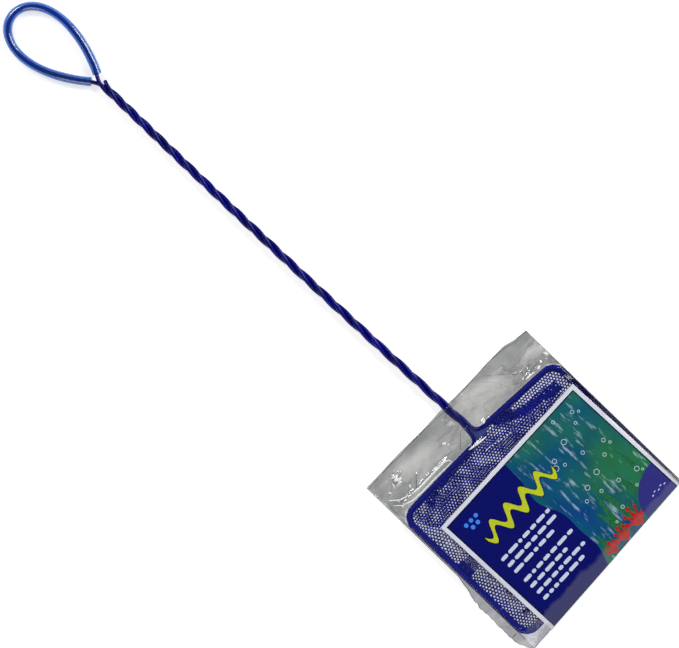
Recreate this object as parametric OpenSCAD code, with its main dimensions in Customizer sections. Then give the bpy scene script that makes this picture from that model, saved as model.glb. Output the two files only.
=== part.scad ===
// Aquarium fish net with a twisted wire handle, lying flat in its clear bag with a printed card.
// Origin: middle of the net's mouth, on the surface that the part lies on.
// +X runs from the handle to the far bar, +Y across the mouth, +Z up. Millimetres and degrees.

/* [Wire] */
// Diameter of the steel wire inside the vinyl
core_d = 1.5; // [1.2:0.1:1.8]
// Thickness of the vinyl coat on the wire
coat_t = 0.43; // [0.3:0.01:0.6]

/* [Hoop] */
// Width of the mouth, over the hem
hoop_w = 127; // [100:1:160]
// Depth of the mouth from the handle side to the far bar, over the hem
hoop_d = 101.6; // [85:0.1:130]
// Bend radius of the hoop's four corners, at the wire's centre
corner_r = 8; // [6:0.5:12]
// How far the right half of the near bar stands out where it meets the neck
shoulder_right = 4; // [0:0.5:5]
// How far the left half of the near bar stands out where it meets the neck
shoulder_left = 0; // [0:0.5:5]
// Length of the neck, from the end of the twist to the corner line of the near bar
neck_l = 10.5; // [9:0.1:16]
// Distance along the bar that each neck bend takes
neck_w = 7.5; // [7:0.5:14]

/* [Twisted handle] */
// Length of the three-strand twist
twist_l = 286; // [120:1:400]
// Full turns of the strands over that length
twist_turns = 7; // [4:1:10]
// How much longer the lay is at the hoop than at the loop, as a share
lay_growth_share = 0.47; // [0.1:0.01:0.8]
// Sideways place of the handle on the near bar
handle_off = 1; // [-5:0.5:5]
// Lean of the handle against the hoop, in degrees
handle_lean = 0.9; // [0:0.1:4]
// Sideways bow of the handle at its middle
handle_bow = 1.3; // [0:0.1:6]
// How far the cut end of the short strand springs out at the loop's base
end_spring = 1; // [0:0.1:2]
// Length of that sprung end
end_l = 5; // [3:0.5:10]

/* [Hanging loop] */
// Length of the loop, base to tip, at the wire's centre
loop_l = 63; // [45:1:90]
// Width of the loop, at the wire's centre
loop_w = 31.4; // [24:0.1:45]
// Lean of the loop against the handle, in degrees
loop_lean = 5.9; // [0:0.1:12]
// Outside diameter of the clear grip tube
grip_od = 5.2; // [4.8:0.1:7]
// Wall of the grip tube
grip_wall = 0.6; // [0.4:0.05:0.8]
// Distance from the loop's base to the grip tube's ends
grip_start = 4; // [3.5:0.1:12]

/* [Net] */
// Thickness of the fabric wrapped round the hoop
hem_t = 0.37; // [0.2:0.01:0.6]
// Width of the sewn flange inside the hem
flange_w = 1; // [1:0.1:3]
// Thickness of the sewn flange
flange_t = 0.6; // [0.4:0.05:1]
// Thickness of one layer of net
net_t = 0.4; // [0.3:0.05:0.8]
// Spacing of the net's gaps, as drawn in the solid
net_pitch = 8.4; // [8:0.2:12]
// Width of the net's strands, as drawn in the solid
net_strand = 1.3; // [0.8:0.1:2]
// Length of the side seams along the hoop
seam_l = 11; // [6:0.5:20]
// How far each side seam's tongue reaches in from the hem
seam_reach = 18; // [10:1:30]
// Where the side seams sit, from the middle of the hoop
seam_x = -3; // [-10:0.5:10]
// Depth of the folded slack under the net, along X
fold_d = 86; // [50:1:88]
// Width of the folded slack, along Y
fold_w = 108; // [70:1:112]
// Width of the sewn toe of the pocket
toe_w = 3; // [2:0.5:5]

/* [Card] */
// Width of the card, across the net
card_w = 111.5; // [80:0.5:115]
// Length of the card, along the net
card_l = 86; // [60:1:90]
// How much shorter the card is along its right edge
card_trim = 2.5; // [0:0.5:4]
// Thickness of the card
card_t = 0.4; // [0.3:0.05:0.8]
// How far the card's far left corner stands out past the hoop
card_out = 5; // [1:0.1:8]
// Gap between the card's far right corner and the bag's folded side
card_side = 1.3; // [0.3:0.1:7]
// Turn of the card, in degrees
card_turn = 1.5; // [0:0.1:3]

/* [Bag] */
// Thickness of the bag's film
film_t = 0.3; // [0.2:0.05:0.5]
// How far the bag's mouth stands out past the near bar
bag_mouth = 21; // [10:1:40]
// Width of the welded edge along the far half
weld_w = 4.6; // [3:0.1:8]
// Width of the welded edge along the near half, where it is turned under
weld_near_w = 0.6; // [0.5:0.1:3]
// Cut corner of the bag beside the weld
bag_chamfer = 8; // [2:0.5:12]

/* [Hidden] */

// Clearances: between pieces that touch, between strands, and between pieces that slide
touch = 0.05;
strand_gap = 0.2;
slide = 0.3;
// Overrun of cuts past a face
over = 1;

// Shares of the loop's shape and of where its wire leaves the twist
loop_taper_share = 0.9;
loop_base_share = 0.027;
loop_leg_share = 0.13;
// The part of a turn that brings the strands level at the neck
neck_turn_share = 0.089;

// Mesh fineness: rings a turn, rings of a bend, rings of the loop, sides of a coat and of the core
rings_turn = 8;
rings_bend = 6;
rings_corner = 5;
rings_loop = 30;
coat_sides = 8;
core_sides = 6;
grip_sides = 10;
$fn = 48;

core_r = core_d / 2;
coat_r = core_r + coat_t;
bore_r = core_r + touch;
hem_r = coat_r + touch + hem_t;
lay_r = (2 * coat_r + strand_gap) / sqrt(3);
twist_r = lay_r + coat_r;

// Heights, from the surface up: the back film, the handle and hoop, the card and the front film
handle_z = film_t + slide + twist_r;
hoop_z = handle_z;
card_z = handle_z + twist_r + slide;
bag_in_z = card_z + card_t + slide;

// Half sizes of the hoop at the wire's centre, and the end of the twist
bar_x = hoop_d / 2 - hem_r;
side_y = hoop_w / 2 - hem_r;
neck_at = [-bar_x - neck_l, handle_off, handle_z];

// The two halves of the near bar: side is 1 on the right and -1 on the left
function shoulder(side) = side > 0 ? shoulder_right : shoulder_left;
function bar_slant(side) = atan(shoulder(side) / side_y);
function bar_way(side) = [sin(bar_slant(side)), side * cos(bar_slant(side)), 0];
function bar_point(side, y) = [-bar_x - shoulder(side) * (1 - side * y / side_y), y, hoop_z];

function unit(v) = v / norm(v);
function turned(p, a) = [p.x * cos(a) - p.y * sin(a), p.x * sin(a) + p.y * cos(a), p.z];
function tail(list) = [for (i = [1 : len(list) - 1]) list[i]];
function bezier(p0, p1, p2, p3, n) = [
    for (i = [0 : n])
        let (t = i / n, u = 1 - t)
        u * u * u * p0 + 3 * u * u * t * p1 + 3 * u * t * t * p2 + t * t * t * p3
];

// Point on the twist: s runs from 0 at the loop to twist_l at the neck, phase picks the strand
function lay_angle(s) =
    360 * (twist_turns + neck_turn_share)
    * ln(1 + lay_growth_share * s / twist_l) / ln(1 + lay_growth_share);
function on_twist(s, phase, spring = 0) =
    neck_at + turned([
        s - twist_l,
        (lay_r + spring) * cos(lay_angle(s) + phase) - handle_bow * sin(180 * s / twist_l),
        (lay_r + spring) * sin(lay_angle(s) + phase)
    ], handle_lean);
twist_rings = ceil(rings_turn * twist_turns);
function strand(phase, spring = 0) = [
    for (i = [0 : twist_rings])
        let (s = twist_l * i / twist_rings)
        on_twist(s, phase, spring * pow(max(0, 1 - s / end_l), 2))
];
function reversed(list) = [for (i = [len(list) - 1 : -1 : 0]) list[i]];

short_phase = 0;
outward_phase = 120;
return_phase = 240;

// The hanging loop is a teardrop: t runs from 0 at the base over the tip, at 180, to 360
taper_peak = 2 * pow((loop_taper_share + 1) / (loop_taper_share + 2), (loop_taper_share + 1) / 2)
    / sqrt(loop_taper_share + 2);
function on_loop(t) =
    let (
        along = loop_l * (1 - cos(t)) / 2,
        across = loop_w / 2 * sin(t) * pow(sin(t / 2), loop_taper_share) / taper_peak,
        local = turned([-along, across, 0], loop_lean)
    )
    neck_at + turned(local - [twist_l + loop_base_share * loop_l, 0, 0], handle_lean);
function loop_t(along) = acos(1 - 2 * along / loop_l);
leg_t = loop_t(loop_leg_share * loop_l);

// Wire from a loop leg into the twist
function loop_joint(t, back, phase) =
    let (
        leg = on_loop(t),
        leg_way = unit(on_loop(t - back) - leg),
        lay = on_twist(0, phase),
        lay_way = unit(on_twist(twist_l / twist_rings, phase) - lay),
        pull = norm(lay - leg) / 3
    )
    bezier(leg, leg + pull * leg_way, lay - pull * lay_way, lay, rings_bend);

// Wire from the twist out on to one half of the near bar
function bar_start(side) = bar_point(side, handle_off + side * neck_w);
function neck(phase, side) =
    let (
        lay = on_twist(twist_l, phase),
        lay_way = unit(lay - on_twist(twist_l * (1 - 1 / twist_rings), phase)),
        bar = bar_start(side),
        pull = norm(bar - lay) / 2
    )
    bezier(lay, lay + pull * lay_way, bar - pull * bar_way(side), bar, rings_bend);

// Plan of the hoop's corners: the turn and the tangent length of a near one, and their middles
function near_turn(side) = 90 - bar_slant(side);
function near_tangent(side) = corner_r * tan(near_turn(side) / 2);
function near_start(side) = bar_point(side, side * side_y) - near_tangent(side) * bar_way(side);
function near_middle(side) = [near_tangent(side) - bar_x, side * (side_y - corner_r), hoop_z];
function far_middle(side) = [bar_x - corner_r, side * (side_y - corner_r), hoop_z];
function arc(middle, from, to) = [
    for (i = [0 : rings_corner])
        let (a = from + (to - from) * i / rings_corner)
        middle + corner_r * [cos(a), sin(a), 0]
];
function hoop_half(side) = concat(
    [bar_start(side)],
    arc(near_middle(side), side * (90 + near_turn(side)), side * 90),
    arc(far_middle(side), side * 90, 0)
);
hoop_path = concat(hoop_half(-1), reversed(hoop_half(1)));

// The whole wire, end to end: down the return strand's cut end, round the loop and the hoop
return_up = reversed(strand(return_phase));
lower_leg = reversed(loop_joint(360 - leg_t, -1, return_phase));
loop_run = [for (i = [0 : rings_loop]) on_loop(360 - leg_t - (360 - 2 * leg_t) * i / rings_loop)];
upper_leg = loop_joint(leg_t, 1, outward_phase);
outward_down = strand(outward_phase);
neck_out = neck(outward_phase, -1);
neck_back = reversed(neck(short_phase, 1));
short_up = reversed(strand(short_phase, end_spring));
wire_runs = [
    return_up, lower_leg, loop_run, upper_leg, outward_down, neck_out, hoop_path, neck_back, short_up
];
function run_start(k) = k == 0 ? 0 : run_start(k - 1) + len(wire_runs[k - 1]) - 1;
wire = concat(wire_runs[0], [for (k = [1 : len(wire_runs) - 1]) each tail(wire_runs[k])]);
last = len(wire) - 1;
ways = [for (i = [0 : last]) unit(wire[min(i + 1, last)] - wire[max(i - 1, 0)])];
function squared(side, way) = unit(side - (side * way) * way);
sides = [
    for (i = 0, side = squared([0, 0, 1], ways[0]); i <= last;
         i = i + 1, side = i <= last ? squared(side, ways[i]) : side)
        side
];

function ring(at, way, side, r, count) = [
    for (k = [0 : count - 1])
        let (a = 360 * k / count)
        at + r * (cos(a) * side + sin(a) * cross(way, side))
];

// Closed skin over rings of equal count: outward rings in order, then the bore's rings if there are any
module skin(outer, inner, count) {
    n = len(outer);
    bored = len(inner) > 0;
    points = [for (r = concat(outer, inner)) each r];
    function at(j, k) = j * count + k % count;
    walls = [
        for (j = [0 : n - 2], k = [0 : count - 1])
            each [[at(j, k), at(j, k + 1), at(j + 1, k + 1)], [at(j, k), at(j + 1, k + 1), at(j + 1, k)]]
    ];
    bores = [
        for (j = [n : n + len(inner) - 2], k = [0 : count - 1])
            if (bored)
                each [[at(j, k + 1), at(j, k), at(j + 1, k)], [at(j, k + 1), at(j + 1, k), at(j + 1, k + 1)]]
    ];
    caps = [
        for (k = [0 : count - 1])
            each [
                [at(0, k + 1), at(0, k), at(n, k)], [at(0, k + 1), at(n, k), at(n, k + 1)],
                [at(n - 1, k), at(n - 1, k + 1), at(2 * n - 1, k + 1)],
                [at(n - 1, k), at(2 * n - 1, k + 1), at(2 * n - 1, k)]
            ]
    ];
    plain_caps = [
        for (k = [1 : count - 2])
            each [[at(0, 0), at(0, k + 1), at(0, k)], [at(n - 1, 0), at(n - 1, k), at(n - 1, k + 1)]]
    ];
    polyhedron(points, concat(walls, bored ? bores : [], bored ? caps : plain_caps));
}

// A length of the wire's coat, from ring i to ring j, with the steel's bore through it
module coat(i, j) {
    outer = [for (k = [i : j]) ring(wire[k], ways[k], sides[k], coat_r, coat_sides)];
    inner = [for (k = [i : j]) ring(wire[k], ways[k], sides[k], bore_r, coat_sides)];
    skin(outer, inner, coat_sides);
}
module coat_run(k) {
    coat(run_start(k), run_start(k + 1));
}

module steel_wire() {
    color("silver")
        skin([for (k = [0 : last]) ring(wire[k], ways[k], sides[k], core_r, core_sides)], [], core_sides);
}

module vinyl() {
    color("midnightblue") children();
}

module strand_return() {
    vinyl() coat_run(0);
}

module leg_return() {
    vinyl() coat_run(1);
}

module loop_coat() {
    vinyl() coat_run(2);
}

module leg_outward() {
    vinyl() coat_run(3);
}

module strand_outward() {
    vinyl() coat_run(4);
}

module neck_left() {
    vinyl() coat_run(5);
}

module hoop_coat() {
    vinyl() coat_run(6);
}

module neck_right() {
    vinyl() coat_run(7);
}

module strand_short() {
    vinyl() coat(run_start(8), last);
}

// Clear tube over the loop, cut square near the base on both legs
module grip_tube() {
    start_t = loop_t(grip_start);
    count = rings_loop + 2;
    path = [for (i = [0 : count]) on_loop(start_t + (360 - 2 * start_t) * i / count)];
    way = [for (i = [0 : count]) unit(path[min(i + 1, count)] - path[max(i - 1, 0)])];
    up = [0, 0, 1];
    color("dodgerblue", 0.6)
        skin(
            [for (i = [0 : count]) ring(path[i], way[i], up, grip_od / 2, grip_sides)],
            [for (i = [0 : count]) ring(path[i], way[i], up, grip_od / 2 - grip_wall, grip_sides)],
            grip_sides
        );
}

// Section of the hem: fabric wrapped round the coated wire, and its flange under the mouth's edge
module hem_section() {
    difference() {
        union() {
            circle(hem_r);
            translate([-hem_r - flange_w, -hem_r])
                square([hem_r + flange_w, flange_t]);
        }
        circle(coat_r + touch);
    }
}

// A straight length of hem from p, heading along the angle, with the mouth on its right
module hem_straight(p, heading, length) {
    translate(p)
        rotate([90, 0, heading + 90])
            linear_extrude(length)
                hem_section();
}

module hem_corner(middle, from, turn) {
    translate(middle)
        rotate(from)
            rotate_extrude(angle = turn)
                translate([corner_r, 0])
                    hem_section();
}

seam_near = seam_x - seam_l / 2;
seam_far = seam_x + seam_l / 2;

// The right side's near hem, which is mirrored for the left, where the shoulder differs.
// The slanted length ends just short of the corner's bend.
function to_right(p, side) = [p.x, side * p.y, p.z];
module near_hem(side) {
    start = to_right(bar_start(side), side);
    bend = to_right(near_start(side), side);
    middle = to_right(near_middle(side), side);
    color("darkblue")
        mirror([0, side > 0 ? 0 : 1, 0]) {
            hem_straight(start, 90 - bar_slant(side), norm(bend - start) - touch);
            hem_corner(middle, 90, near_turn(side));
            hem_straight(middle + [0, corner_r, 0], 0, seam_near - touch - middle.x);
        }
}

module hem_near_right() {
    near_hem(1);
}

module hem_near_left() {
    near_hem(-1);
}

module far_hem_side() {
    middle = far_middle(1);
    hem_straight([seam_far + touch, side_y, hoop_z], 0, middle.x - seam_far - touch);
    hem_corner(middle, 0, 90);
}

module hem_far() {
    color("darkblue") {
        far_hem_side();
        mirror([0, 1, 0]) far_hem_side();
        hem_straight([bar_x, far_middle(1).y, hoop_z], -90, 2 * far_middle(1).y);
    }
}

// Side seam: a wrapped collar on the hoop and a tapering tongue of doubled net
module side_seam() {
    tongue_in = side_y - hem_r - seam_reach;
    color("navy")
        difference() {
            union() {
                translate([seam_near, side_y, hoop_z])
                    rotate([0, 90, 0])
                        cylinder(r = hem_r, h = seam_l);
                translate([0, 0, hoop_z - hem_r])
                    linear_extrude(flange_t)
                        polygon([
                            [seam_near, side_y], [seam_far, side_y],
                            [seam_x + seam_l / 4, tongue_in], [seam_x - seam_l / 4, tongue_in]
                        ]);
            }
            translate([seam_near - over, side_y, hoop_z])
                rotate([0, 90, 0])
                    cylinder(r = coat_r + touch, h = seam_l + 2 * over);
        }
}

module side_seam_right() {
    side_seam();
}

module side_seam_left() {
    mirror([0, 1, 0]) side_seam();
}

// A flat piece of net: the outline is its children, the staggered six-sided gaps lie between two corners
module net_sheet(low, high) {
    size = high - low;
    rows = floor(size.x / (net_pitch * sqrt(3) / 2));
    row_step = size.x / rows;
    columns = floor(size.y / net_pitch);
    column_step = size.y / columns;
    gap_r = (net_pitch - net_strand) / sqrt(3);
    color("royalblue")
        linear_extrude(net_t)
            difference() {
                children();
                for (i = [0 : rows - 1], j = [0 : columns - 1 - i % 2])
                    translate([
                        low.x + (i + 1 / 2) * row_step,
                        low.y + (j + 1 / 2 + (i % 2) / 2) * column_step
                    ])
                        circle(gap_r, $fn = 6);
            }
}

// The net's edge lies under the hem's flange, and its gaps start inside the flange
net_edge = [bar_x - hem_r, side_y - hem_r];
gap_edge = net_edge - [flange_w, flange_w];
net_z = hoop_z - hem_r - touch - net_t;
slack_z = net_z - touch - net_t;

module net_near() {
    translate([0, 0, net_z])
        net_sheet([-gap_edge.x, -gap_edge.y], [seam_x - touch - net_strand / 2, gap_edge.y])
            polygon([
                [seam_x - touch, -net_edge.y], [seam_x - touch, net_edge.y],
                [-net_edge.x, net_edge.y], [-net_edge.x - shoulder_right, handle_off + hem_r],
                [-net_edge.x - shoulder_left, handle_off - hem_r], [-net_edge.x, -net_edge.y]
            ]);
}

module net_far() {
    translate([0, 0, net_z])
        net_sheet([seam_x + touch + net_strand / 2, -gap_edge.y], gap_edge)
            translate([seam_x + touch, -net_edge.y])
                square([net_edge.x - seam_x - touch, 2 * net_edge.y]);
}

// The pocket's slack, folded flat under the net, and the sewn toe at its far end
fold_near = seam_x - fold_d / 2;
fold_far = seam_x + fold_d / 2;

module net_slack() {
    size = [fold_d - toe_w - touch, fold_w];
    rim = [net_strand / 2, net_strand / 2];
    translate([fold_near, -fold_w / 2, slack_z])
        net_sheet(rim, size - rim) square(size);
}

module toe_seam() {
    color("navy")
        translate([fold_far - toe_w, -fold_w / 2, slack_z])
            cube([toe_w, fold_w, net_t]);
}

// The bag's folded side lies along the hoop, and the card, a little out of square, lies beside it
bag_right = hoop_w / 2 + slide;
card_shape = [
    for (p = [
        [-card_l / 2, -card_w / 2], [card_l / 2, -card_w / 2],
        [card_l / 2 - card_trim, card_w / 2], [-card_l / 2, card_w / 2]
    ])
        turned([p.x, p.y, 0], card_turn)
];
card_at = [hoop_d / 2 + card_out - card_shape[1].x, bag_right - card_side - card_shape[2].y];
card_corners = [for (p = card_shape) [p.x, p.y] + card_at];

module insert_card() {
    color("white")
        translate([0, 0, card_z])
            linear_extrude(card_t)
                polygon(card_corners);
}

// Inside of the bag: past the hoop and the card on the welded side, and along their far edges
bag_near = -bar_x - shoulder_right - hem_r - bag_mouth;
bag_left = max(hoop_w / 2, -card_corners[0].y) + slide;
bag_top = bag_in_z + film_t;
function past_far(corner) = [max(corner.x, hoop_d / 2) + slide, corner.y];
far_left = past_far(card_corners[1]);
far_right = past_far(card_corners[2]);
function bag_far(y) =
    far_right.x + (far_left.x - far_right.x) * (far_right.y - y) / (far_right.y - far_left.y);
function bag_plan(left, right) = [
    [bag_near, left], [bag_near, right], [bag_far(right), right], [bag_far(left), left]
];
weld_y = -bag_left - film_t;

module film() {
    color([0.75, 0.76, 0.78], 0.35) children();
}

module bag_back() {
    film()
        linear_extrude(film_t)
            polygon(bag_plan(weld_y, bag_right));
}

module bag_front() {
    film()
        translate([0, 0, bag_in_z])
            linear_extrude(film_t)
                polygon(bag_plan(-bag_left, bag_right));
}

module bag_fold_side() {
    film()
        linear_extrude(bag_top)
            polygon([
                [bag_near, bag_right], [bag_near, bag_right + film_t],
                [bag_far(bag_right) + film_t, bag_right + film_t], [bag_far(bag_right), bag_right]
            ]);
}

// Side wall of the bag, and its welded edge with the corner cut off
module bag_weld_side() {
    wall_end = bag_far(-bag_left);
    film() {
        translate([0, 0, film_t])
            linear_extrude(bag_top - film_t)
                polygon([
                    [bag_near, -bag_left], [wall_end, -bag_left], [wall_end, weld_y], [bag_near, weld_y]
                ]);
        linear_extrude(2 * film_t)
            polygon([
                [bag_near, weld_y], [bag_near, weld_y - weld_near_w], [seam_x, weld_y - weld_near_w],
                [seam_x + bag_mouth, weld_y - weld_w], [wall_end - bag_chamfer, weld_y - weld_w],
                [wall_end, weld_y]
            ]);
    }
}

// Folded end of the bag, along the card's far edge
module bag_end() {
    film()
        linear_extrude(bag_top)
            polygon([
                [bag_far(bag_right), bag_right], [bag_far(bag_right) + film_t, bag_right],
                [bag_far(-bag_left) + film_t, -bag_left], [bag_far(-bag_left), -bag_left]
            ]);
}

steel_wire();
strand_outward();
strand_return();
strand_short();
neck_left();
neck_right();
hoop_coat();
leg_outward();
leg_return();
loop_coat();
grip_tube();
hem_near_left();
hem_near_right();
hem_far();
side_seam_left();
side_seam_right();
net_near();
net_far();
net_slack();
toe_seam();
insert_card();
bag_back();
bag_front();
bag_fold_side();
bag_weld_side();
bag_end();
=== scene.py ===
"""Finish and soft parts of an aquarium fish net in its clear bag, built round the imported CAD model.

Lengths are in metres in the CAD's own frame: +X runs from the handle to the hoop's far bar,
+Y across the mouth and +Z up from the surface that the part lies on.
"""

import math
from types import SimpleNamespace

import bpy
import numpy as np
from bpy.props import FloatProperty, FloatVectorProperty, PointerProperty
from bpy.types import Operator, Panel, PropertyGroup
from mathutils import Matrix, Vector


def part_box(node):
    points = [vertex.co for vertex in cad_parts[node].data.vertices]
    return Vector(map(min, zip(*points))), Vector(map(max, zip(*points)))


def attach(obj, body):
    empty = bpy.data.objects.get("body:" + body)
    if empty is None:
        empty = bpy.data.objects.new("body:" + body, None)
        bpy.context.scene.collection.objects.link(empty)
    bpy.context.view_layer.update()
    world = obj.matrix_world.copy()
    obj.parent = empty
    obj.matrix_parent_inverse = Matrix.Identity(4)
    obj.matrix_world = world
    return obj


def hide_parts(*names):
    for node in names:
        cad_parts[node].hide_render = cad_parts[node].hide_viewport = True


bl_info = {
    "name": "Aquarium fish net",
    "version": (1, 0, 0),
    "blender": (4, 5, 0),
    "location": "View3D > Sidebar > Fish net",
    "description": "Dresses the fish net's CAD model: wire, grip, net, hem, printed card and clear bag",
    "category": "Add Mesh",
}

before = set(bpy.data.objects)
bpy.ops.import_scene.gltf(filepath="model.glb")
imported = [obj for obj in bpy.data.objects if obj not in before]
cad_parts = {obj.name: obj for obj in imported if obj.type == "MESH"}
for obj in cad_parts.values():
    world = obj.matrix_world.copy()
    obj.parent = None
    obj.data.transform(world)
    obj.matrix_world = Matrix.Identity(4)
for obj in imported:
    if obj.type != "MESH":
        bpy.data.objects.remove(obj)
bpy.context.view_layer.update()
MM = 0.001


def length(name, default_mm, description):
    """A size that the panel shows, given in millimetres and kept in metres."""
    return FloatProperty(name=name, description=description, default=default_mm * MM, unit="LENGTH", precision=5)


def angle(name, degrees, description):
    """A turn that the panel shows in degrees."""
    return FloatProperty(name=name, description=description, default=math.radians(degrees), subtype="ANGLE")


def share(name, default, description):
    """A plain number, such as a share or a strength."""
    return FloatProperty(name=name, description=description, default=default, min=0.0)


def linear(level):
    """Linear value of a screen colour's channel, given from 0 to 255."""
    v = level / 255
    return v / 12.92 if v <= 0.04045 else ((v + 0.055) / 1.055) ** 2.4


def colour(name, screen, description):
    """A colour that is written as it shows on a screen."""
    return FloatVectorProperty(
        name=name, description=description, default=[linear(v) for v in screen],
        subtype="COLOR", size=3, min=0.0, max=1.0,
    )


class WireSizes(PropertyGroup):
    """The coated wire and its three-strand twist."""

    coat_radius: length("Coat radius", 1.18, "Radius of the vinyl coat on the wire")
    bore_radius: length("Bore radius", 0.8, "Radius of the coat's bore, seen at its two cut ends")
    strand_gap: length("Strand gap", 0.2, "Clearance between two strands of the twist")
    twist_length: length("Twist length", 286, "Length of the three-strand twist")
    turns: share("Turns", 7.089, "Turns of the strands over the twist")
    lay_growth: share("Lay growth", 0.47, "How much longer the lay is at the hoop, as a share")
    bow: length("Bow", 1.3, "Sideways bow of the handle at its middle")
    lean: angle("Lean", 0.9, "Lean of the handle against the hoop")
    end_spring: length("End spring", 1, "How far the short strand's cut end springs out")
    end_length: length("End length", 5, "Length of that sprung end")
    neck: FloatVectorProperty(
        name="Neck", description="End of the twist at the hoop",
        default=(-59.7 * MM, 1 * MM, 3.258 * MM), subtype="XYZ", unit="LENGTH",
    )
    neck_pull: length("Neck reach", 7.5, "Distance along the bar that each neck bend takes")


class LoopSizes(PropertyGroup):
    """The hanging loop and its grip tube."""

    length: length("Length", 63, "Length of the loop at the wire's centre")
    width: length("Width", 31.4, "Width of the loop at the wire's centre")
    lean: angle("Lean", 5.9, "Lean of the loop against the handle")
    taper: share("Taper", 0.9, "How much the loop narrows towards its base")
    base: share("Base", 0.027, "Distance of the loop's base from the twist, as a share of its length")
    leg: share("Legs", 0.13, "Where the two legs leave the teardrop, as a share of its length")
    tube_radius: length("Tube radius", 2.6, "Outside radius of the clear grip tube")
    tube_wall: length("Tube wall", 0.6, "Wall of the grip tube")
    tube_start: length("Tube start", 4, "Distance from the loop's base to the tube's ends")


class HoopSizes(PropertyGroup):
    """The hoop, its hem and its stitching."""

    bar_x: length("Half depth", 49.2, "Half the hoop's depth at the wire's centre")
    side_y: length("Half width", 61.9, "Half the hoop's width at the wire's centre")
    corner: length("Corner radius", 8, "Bend radius of the hoop's corners")
    shoulder_right: length("Right shoulder", 4, "How far the near bar's right half stands out at the neck")
    shoulder_left: length("Left shoulder", 0, "How far the near bar's left half stands out at the neck")
    hem_radius: length("Hem radius", 1.6, "Radius of the fabric wrapped round the wire")
    flange_width: length("Flange width", 0.8, "Width of the sewn flange inside the hem")
    flange_depth: length("Flange depth", 0.5, "Thickness of the sewn flange")
    stitch: length("Stitch", 2.1, "Length of one stitch")
    stitch_gap: length("Stitch gap", 0.8, "Gap between two stitches")
    thread: length("Thread radius", 0.14, "Radius of the sewing thread")


class NetSizes(PropertyGroup):
    """The knitted nylon net."""

    pitch: length("Pitch", 1.9, "Distance between two neighbouring holes")
    squeeze: share("Squeeze", 0.93, "How close the rows of holes lie, as a share of a regular lattice")
    hole: length("Hole radius", 0.6, "Radius of one hole")
    thread: length("Thread depth", 0.3, "Thickness of the threads between the holes")
    sag: length("Sag", 0.12, "How far the cloth waves up and down")
    drift: length("Drift", 0.9, "How far the cloth is stretched out of line")


class CardSizes(PropertyGroup):
    """The printed insert card."""

    length: length("Length", 86, "Length of the card along the net")
    width: length("Width", 111.5, "Width of the card across the net")
    trim: length("Trim", 2.5, "How much shorter the card is along its right edge")
    turn: angle("Turn", 1.5, "Turn of the card")
    stock: length("Stock", 0.3, "Thickness of the card")
    border: length("Border", 3.1, "Width of the white border")


class BagSizes(PropertyGroup):
    """The clear bag."""

    cell: length("Cell", 0.9, "Spacing of the film's points")
    lie: length("Lie", 0.15, "Height of the back film")
    wrinkle: length("Wrinkle", 0.35, "Height of the film's soft wrinkles")
    sag: share("Sag", 0.004, "How heavily the film hangs between what carries it")
    lip: length("Lip radius", 0.16, "Radius of the film's cut and folded edges")


class Colours(PropertyGroup):
    """Colours of the pieces."""

    vinyl: colour("Vinyl", (2, 5, 124), "Vinyl coat of the wire")
    tube: colour("Tube", (14, 96, 228), "Grip tube")
    tube_clear: colour("Tube tint", (196, 224, 254), "What one wall of the grip tube lets through")
    hem: colour("Hem", (2, 9, 100), "Hem fabric")
    seam: colour("Seam", (5, 15, 108), "Gathered seams")
    net: colour("Net", (7, 20, 130), "Nylon net")
    stretched: colour("Stretched hem", (52, 62, 112), "Hem cloth drawn thin over the fork")
    thread: colour("Thread", (52, 62, 160), "Sewing thread")
    card: colour("Card", (240, 240, 243), "Coated card")
    navy: colour("Navy ink", (2, 10, 104), "Printed field")
    teal: colour("Teal ink", (5, 88, 112), "Printed water, near the top")
    blue: colour("Blue ink", (4, 58, 146), "Printed water, in the middle")
    green: colour("Green ink", (44, 126, 60), "Printed water, over the plants")
    leaf: colour("Leaf ink", (36, 112, 66), "Printed water plants")
    red: colour("Red ink", (196, 30, 24), "Printed red leaves")
    sky: colour("Sky ink", (68, 146, 252), "Printed dots")
    lime: colour("Lime ink", (206, 216, 44), "Printed ribbon")
    pale: colour("Pale ink", (220, 229, 238), "Printed rules and bubbles")
    violet: colour("Violet ink", (52, 52, 132), "Printed corner")
    dark: colour("Dark ink", (6, 8, 26), "Printed outlines")
    film: colour("Film", (246, 247, 253), "What the bag's front film lets through")
    # Used outside the hoop, where its grey is painted shade on the floor under the bag
    film_back: colour("Back film", (202, 202, 199), "What the bag's back film lets through")
    # Darker than the film, partly as painted shade along its edges and folds
    film_edge: colour("Film edge", (192, 193, 195), "What the film's folded and cut edges let through")
    haze: colour("Haze", (205, 205, 203), "Milkiness of the film")
    floor: colour("Floor", (212, 212, 212), "Floor")


class StageSettings(PropertyGroup):
    """Camera and lamps."""

    lens: FloatProperty(name="Lens", description="Focal length in millimetres", default=135.0)
    sensor: FloatProperty(name="Sensor", description="Sensor width in millimetres", default=36.0)
    span: length("Span", 388.4, "Width of the view at the net")
    turn: angle("Turn", 44.05, "Angle of the handle below the picture's level line")
    aim: FloatVectorProperty(
        name="Aim", description="Point at the middle of the picture",
        default=(-152.5 * MM, -7.7 * MM, 4 * MM), subtype="XYZ", unit="LENGTH",
    )
    world: share("World", 0.12, "Strength of the even light all round")
    key: share("Key", 17.0, "Power of the main lamp in watts")
    spark: share("Spark", 8.0, "Power of the small lamp that lights the film's creases, in watts")
    fill: share("Fill", 13.0, "Power of the wide lamp in watts")
    floor_glow: share("Floor glow", 0.58, "Brightness that only the camera, gloss and glass see in the floor")


class FishNet(PropertyGroup):
    """Everything that can be set."""

    wire: PointerProperty(type=WireSizes)
    loop: PointerProperty(type=LoopSizes)
    hoop: PointerProperty(type=HoopSizes)
    net: PointerProperty(type=NetSizes)
    card: PointerProperty(type=CardSizes)
    bag: PointerProperty(type=BagSizes)
    colours: PointerProperty(type=Colours)
    stage: PointerProperty(type=StageSettings)


# Meshes


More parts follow.
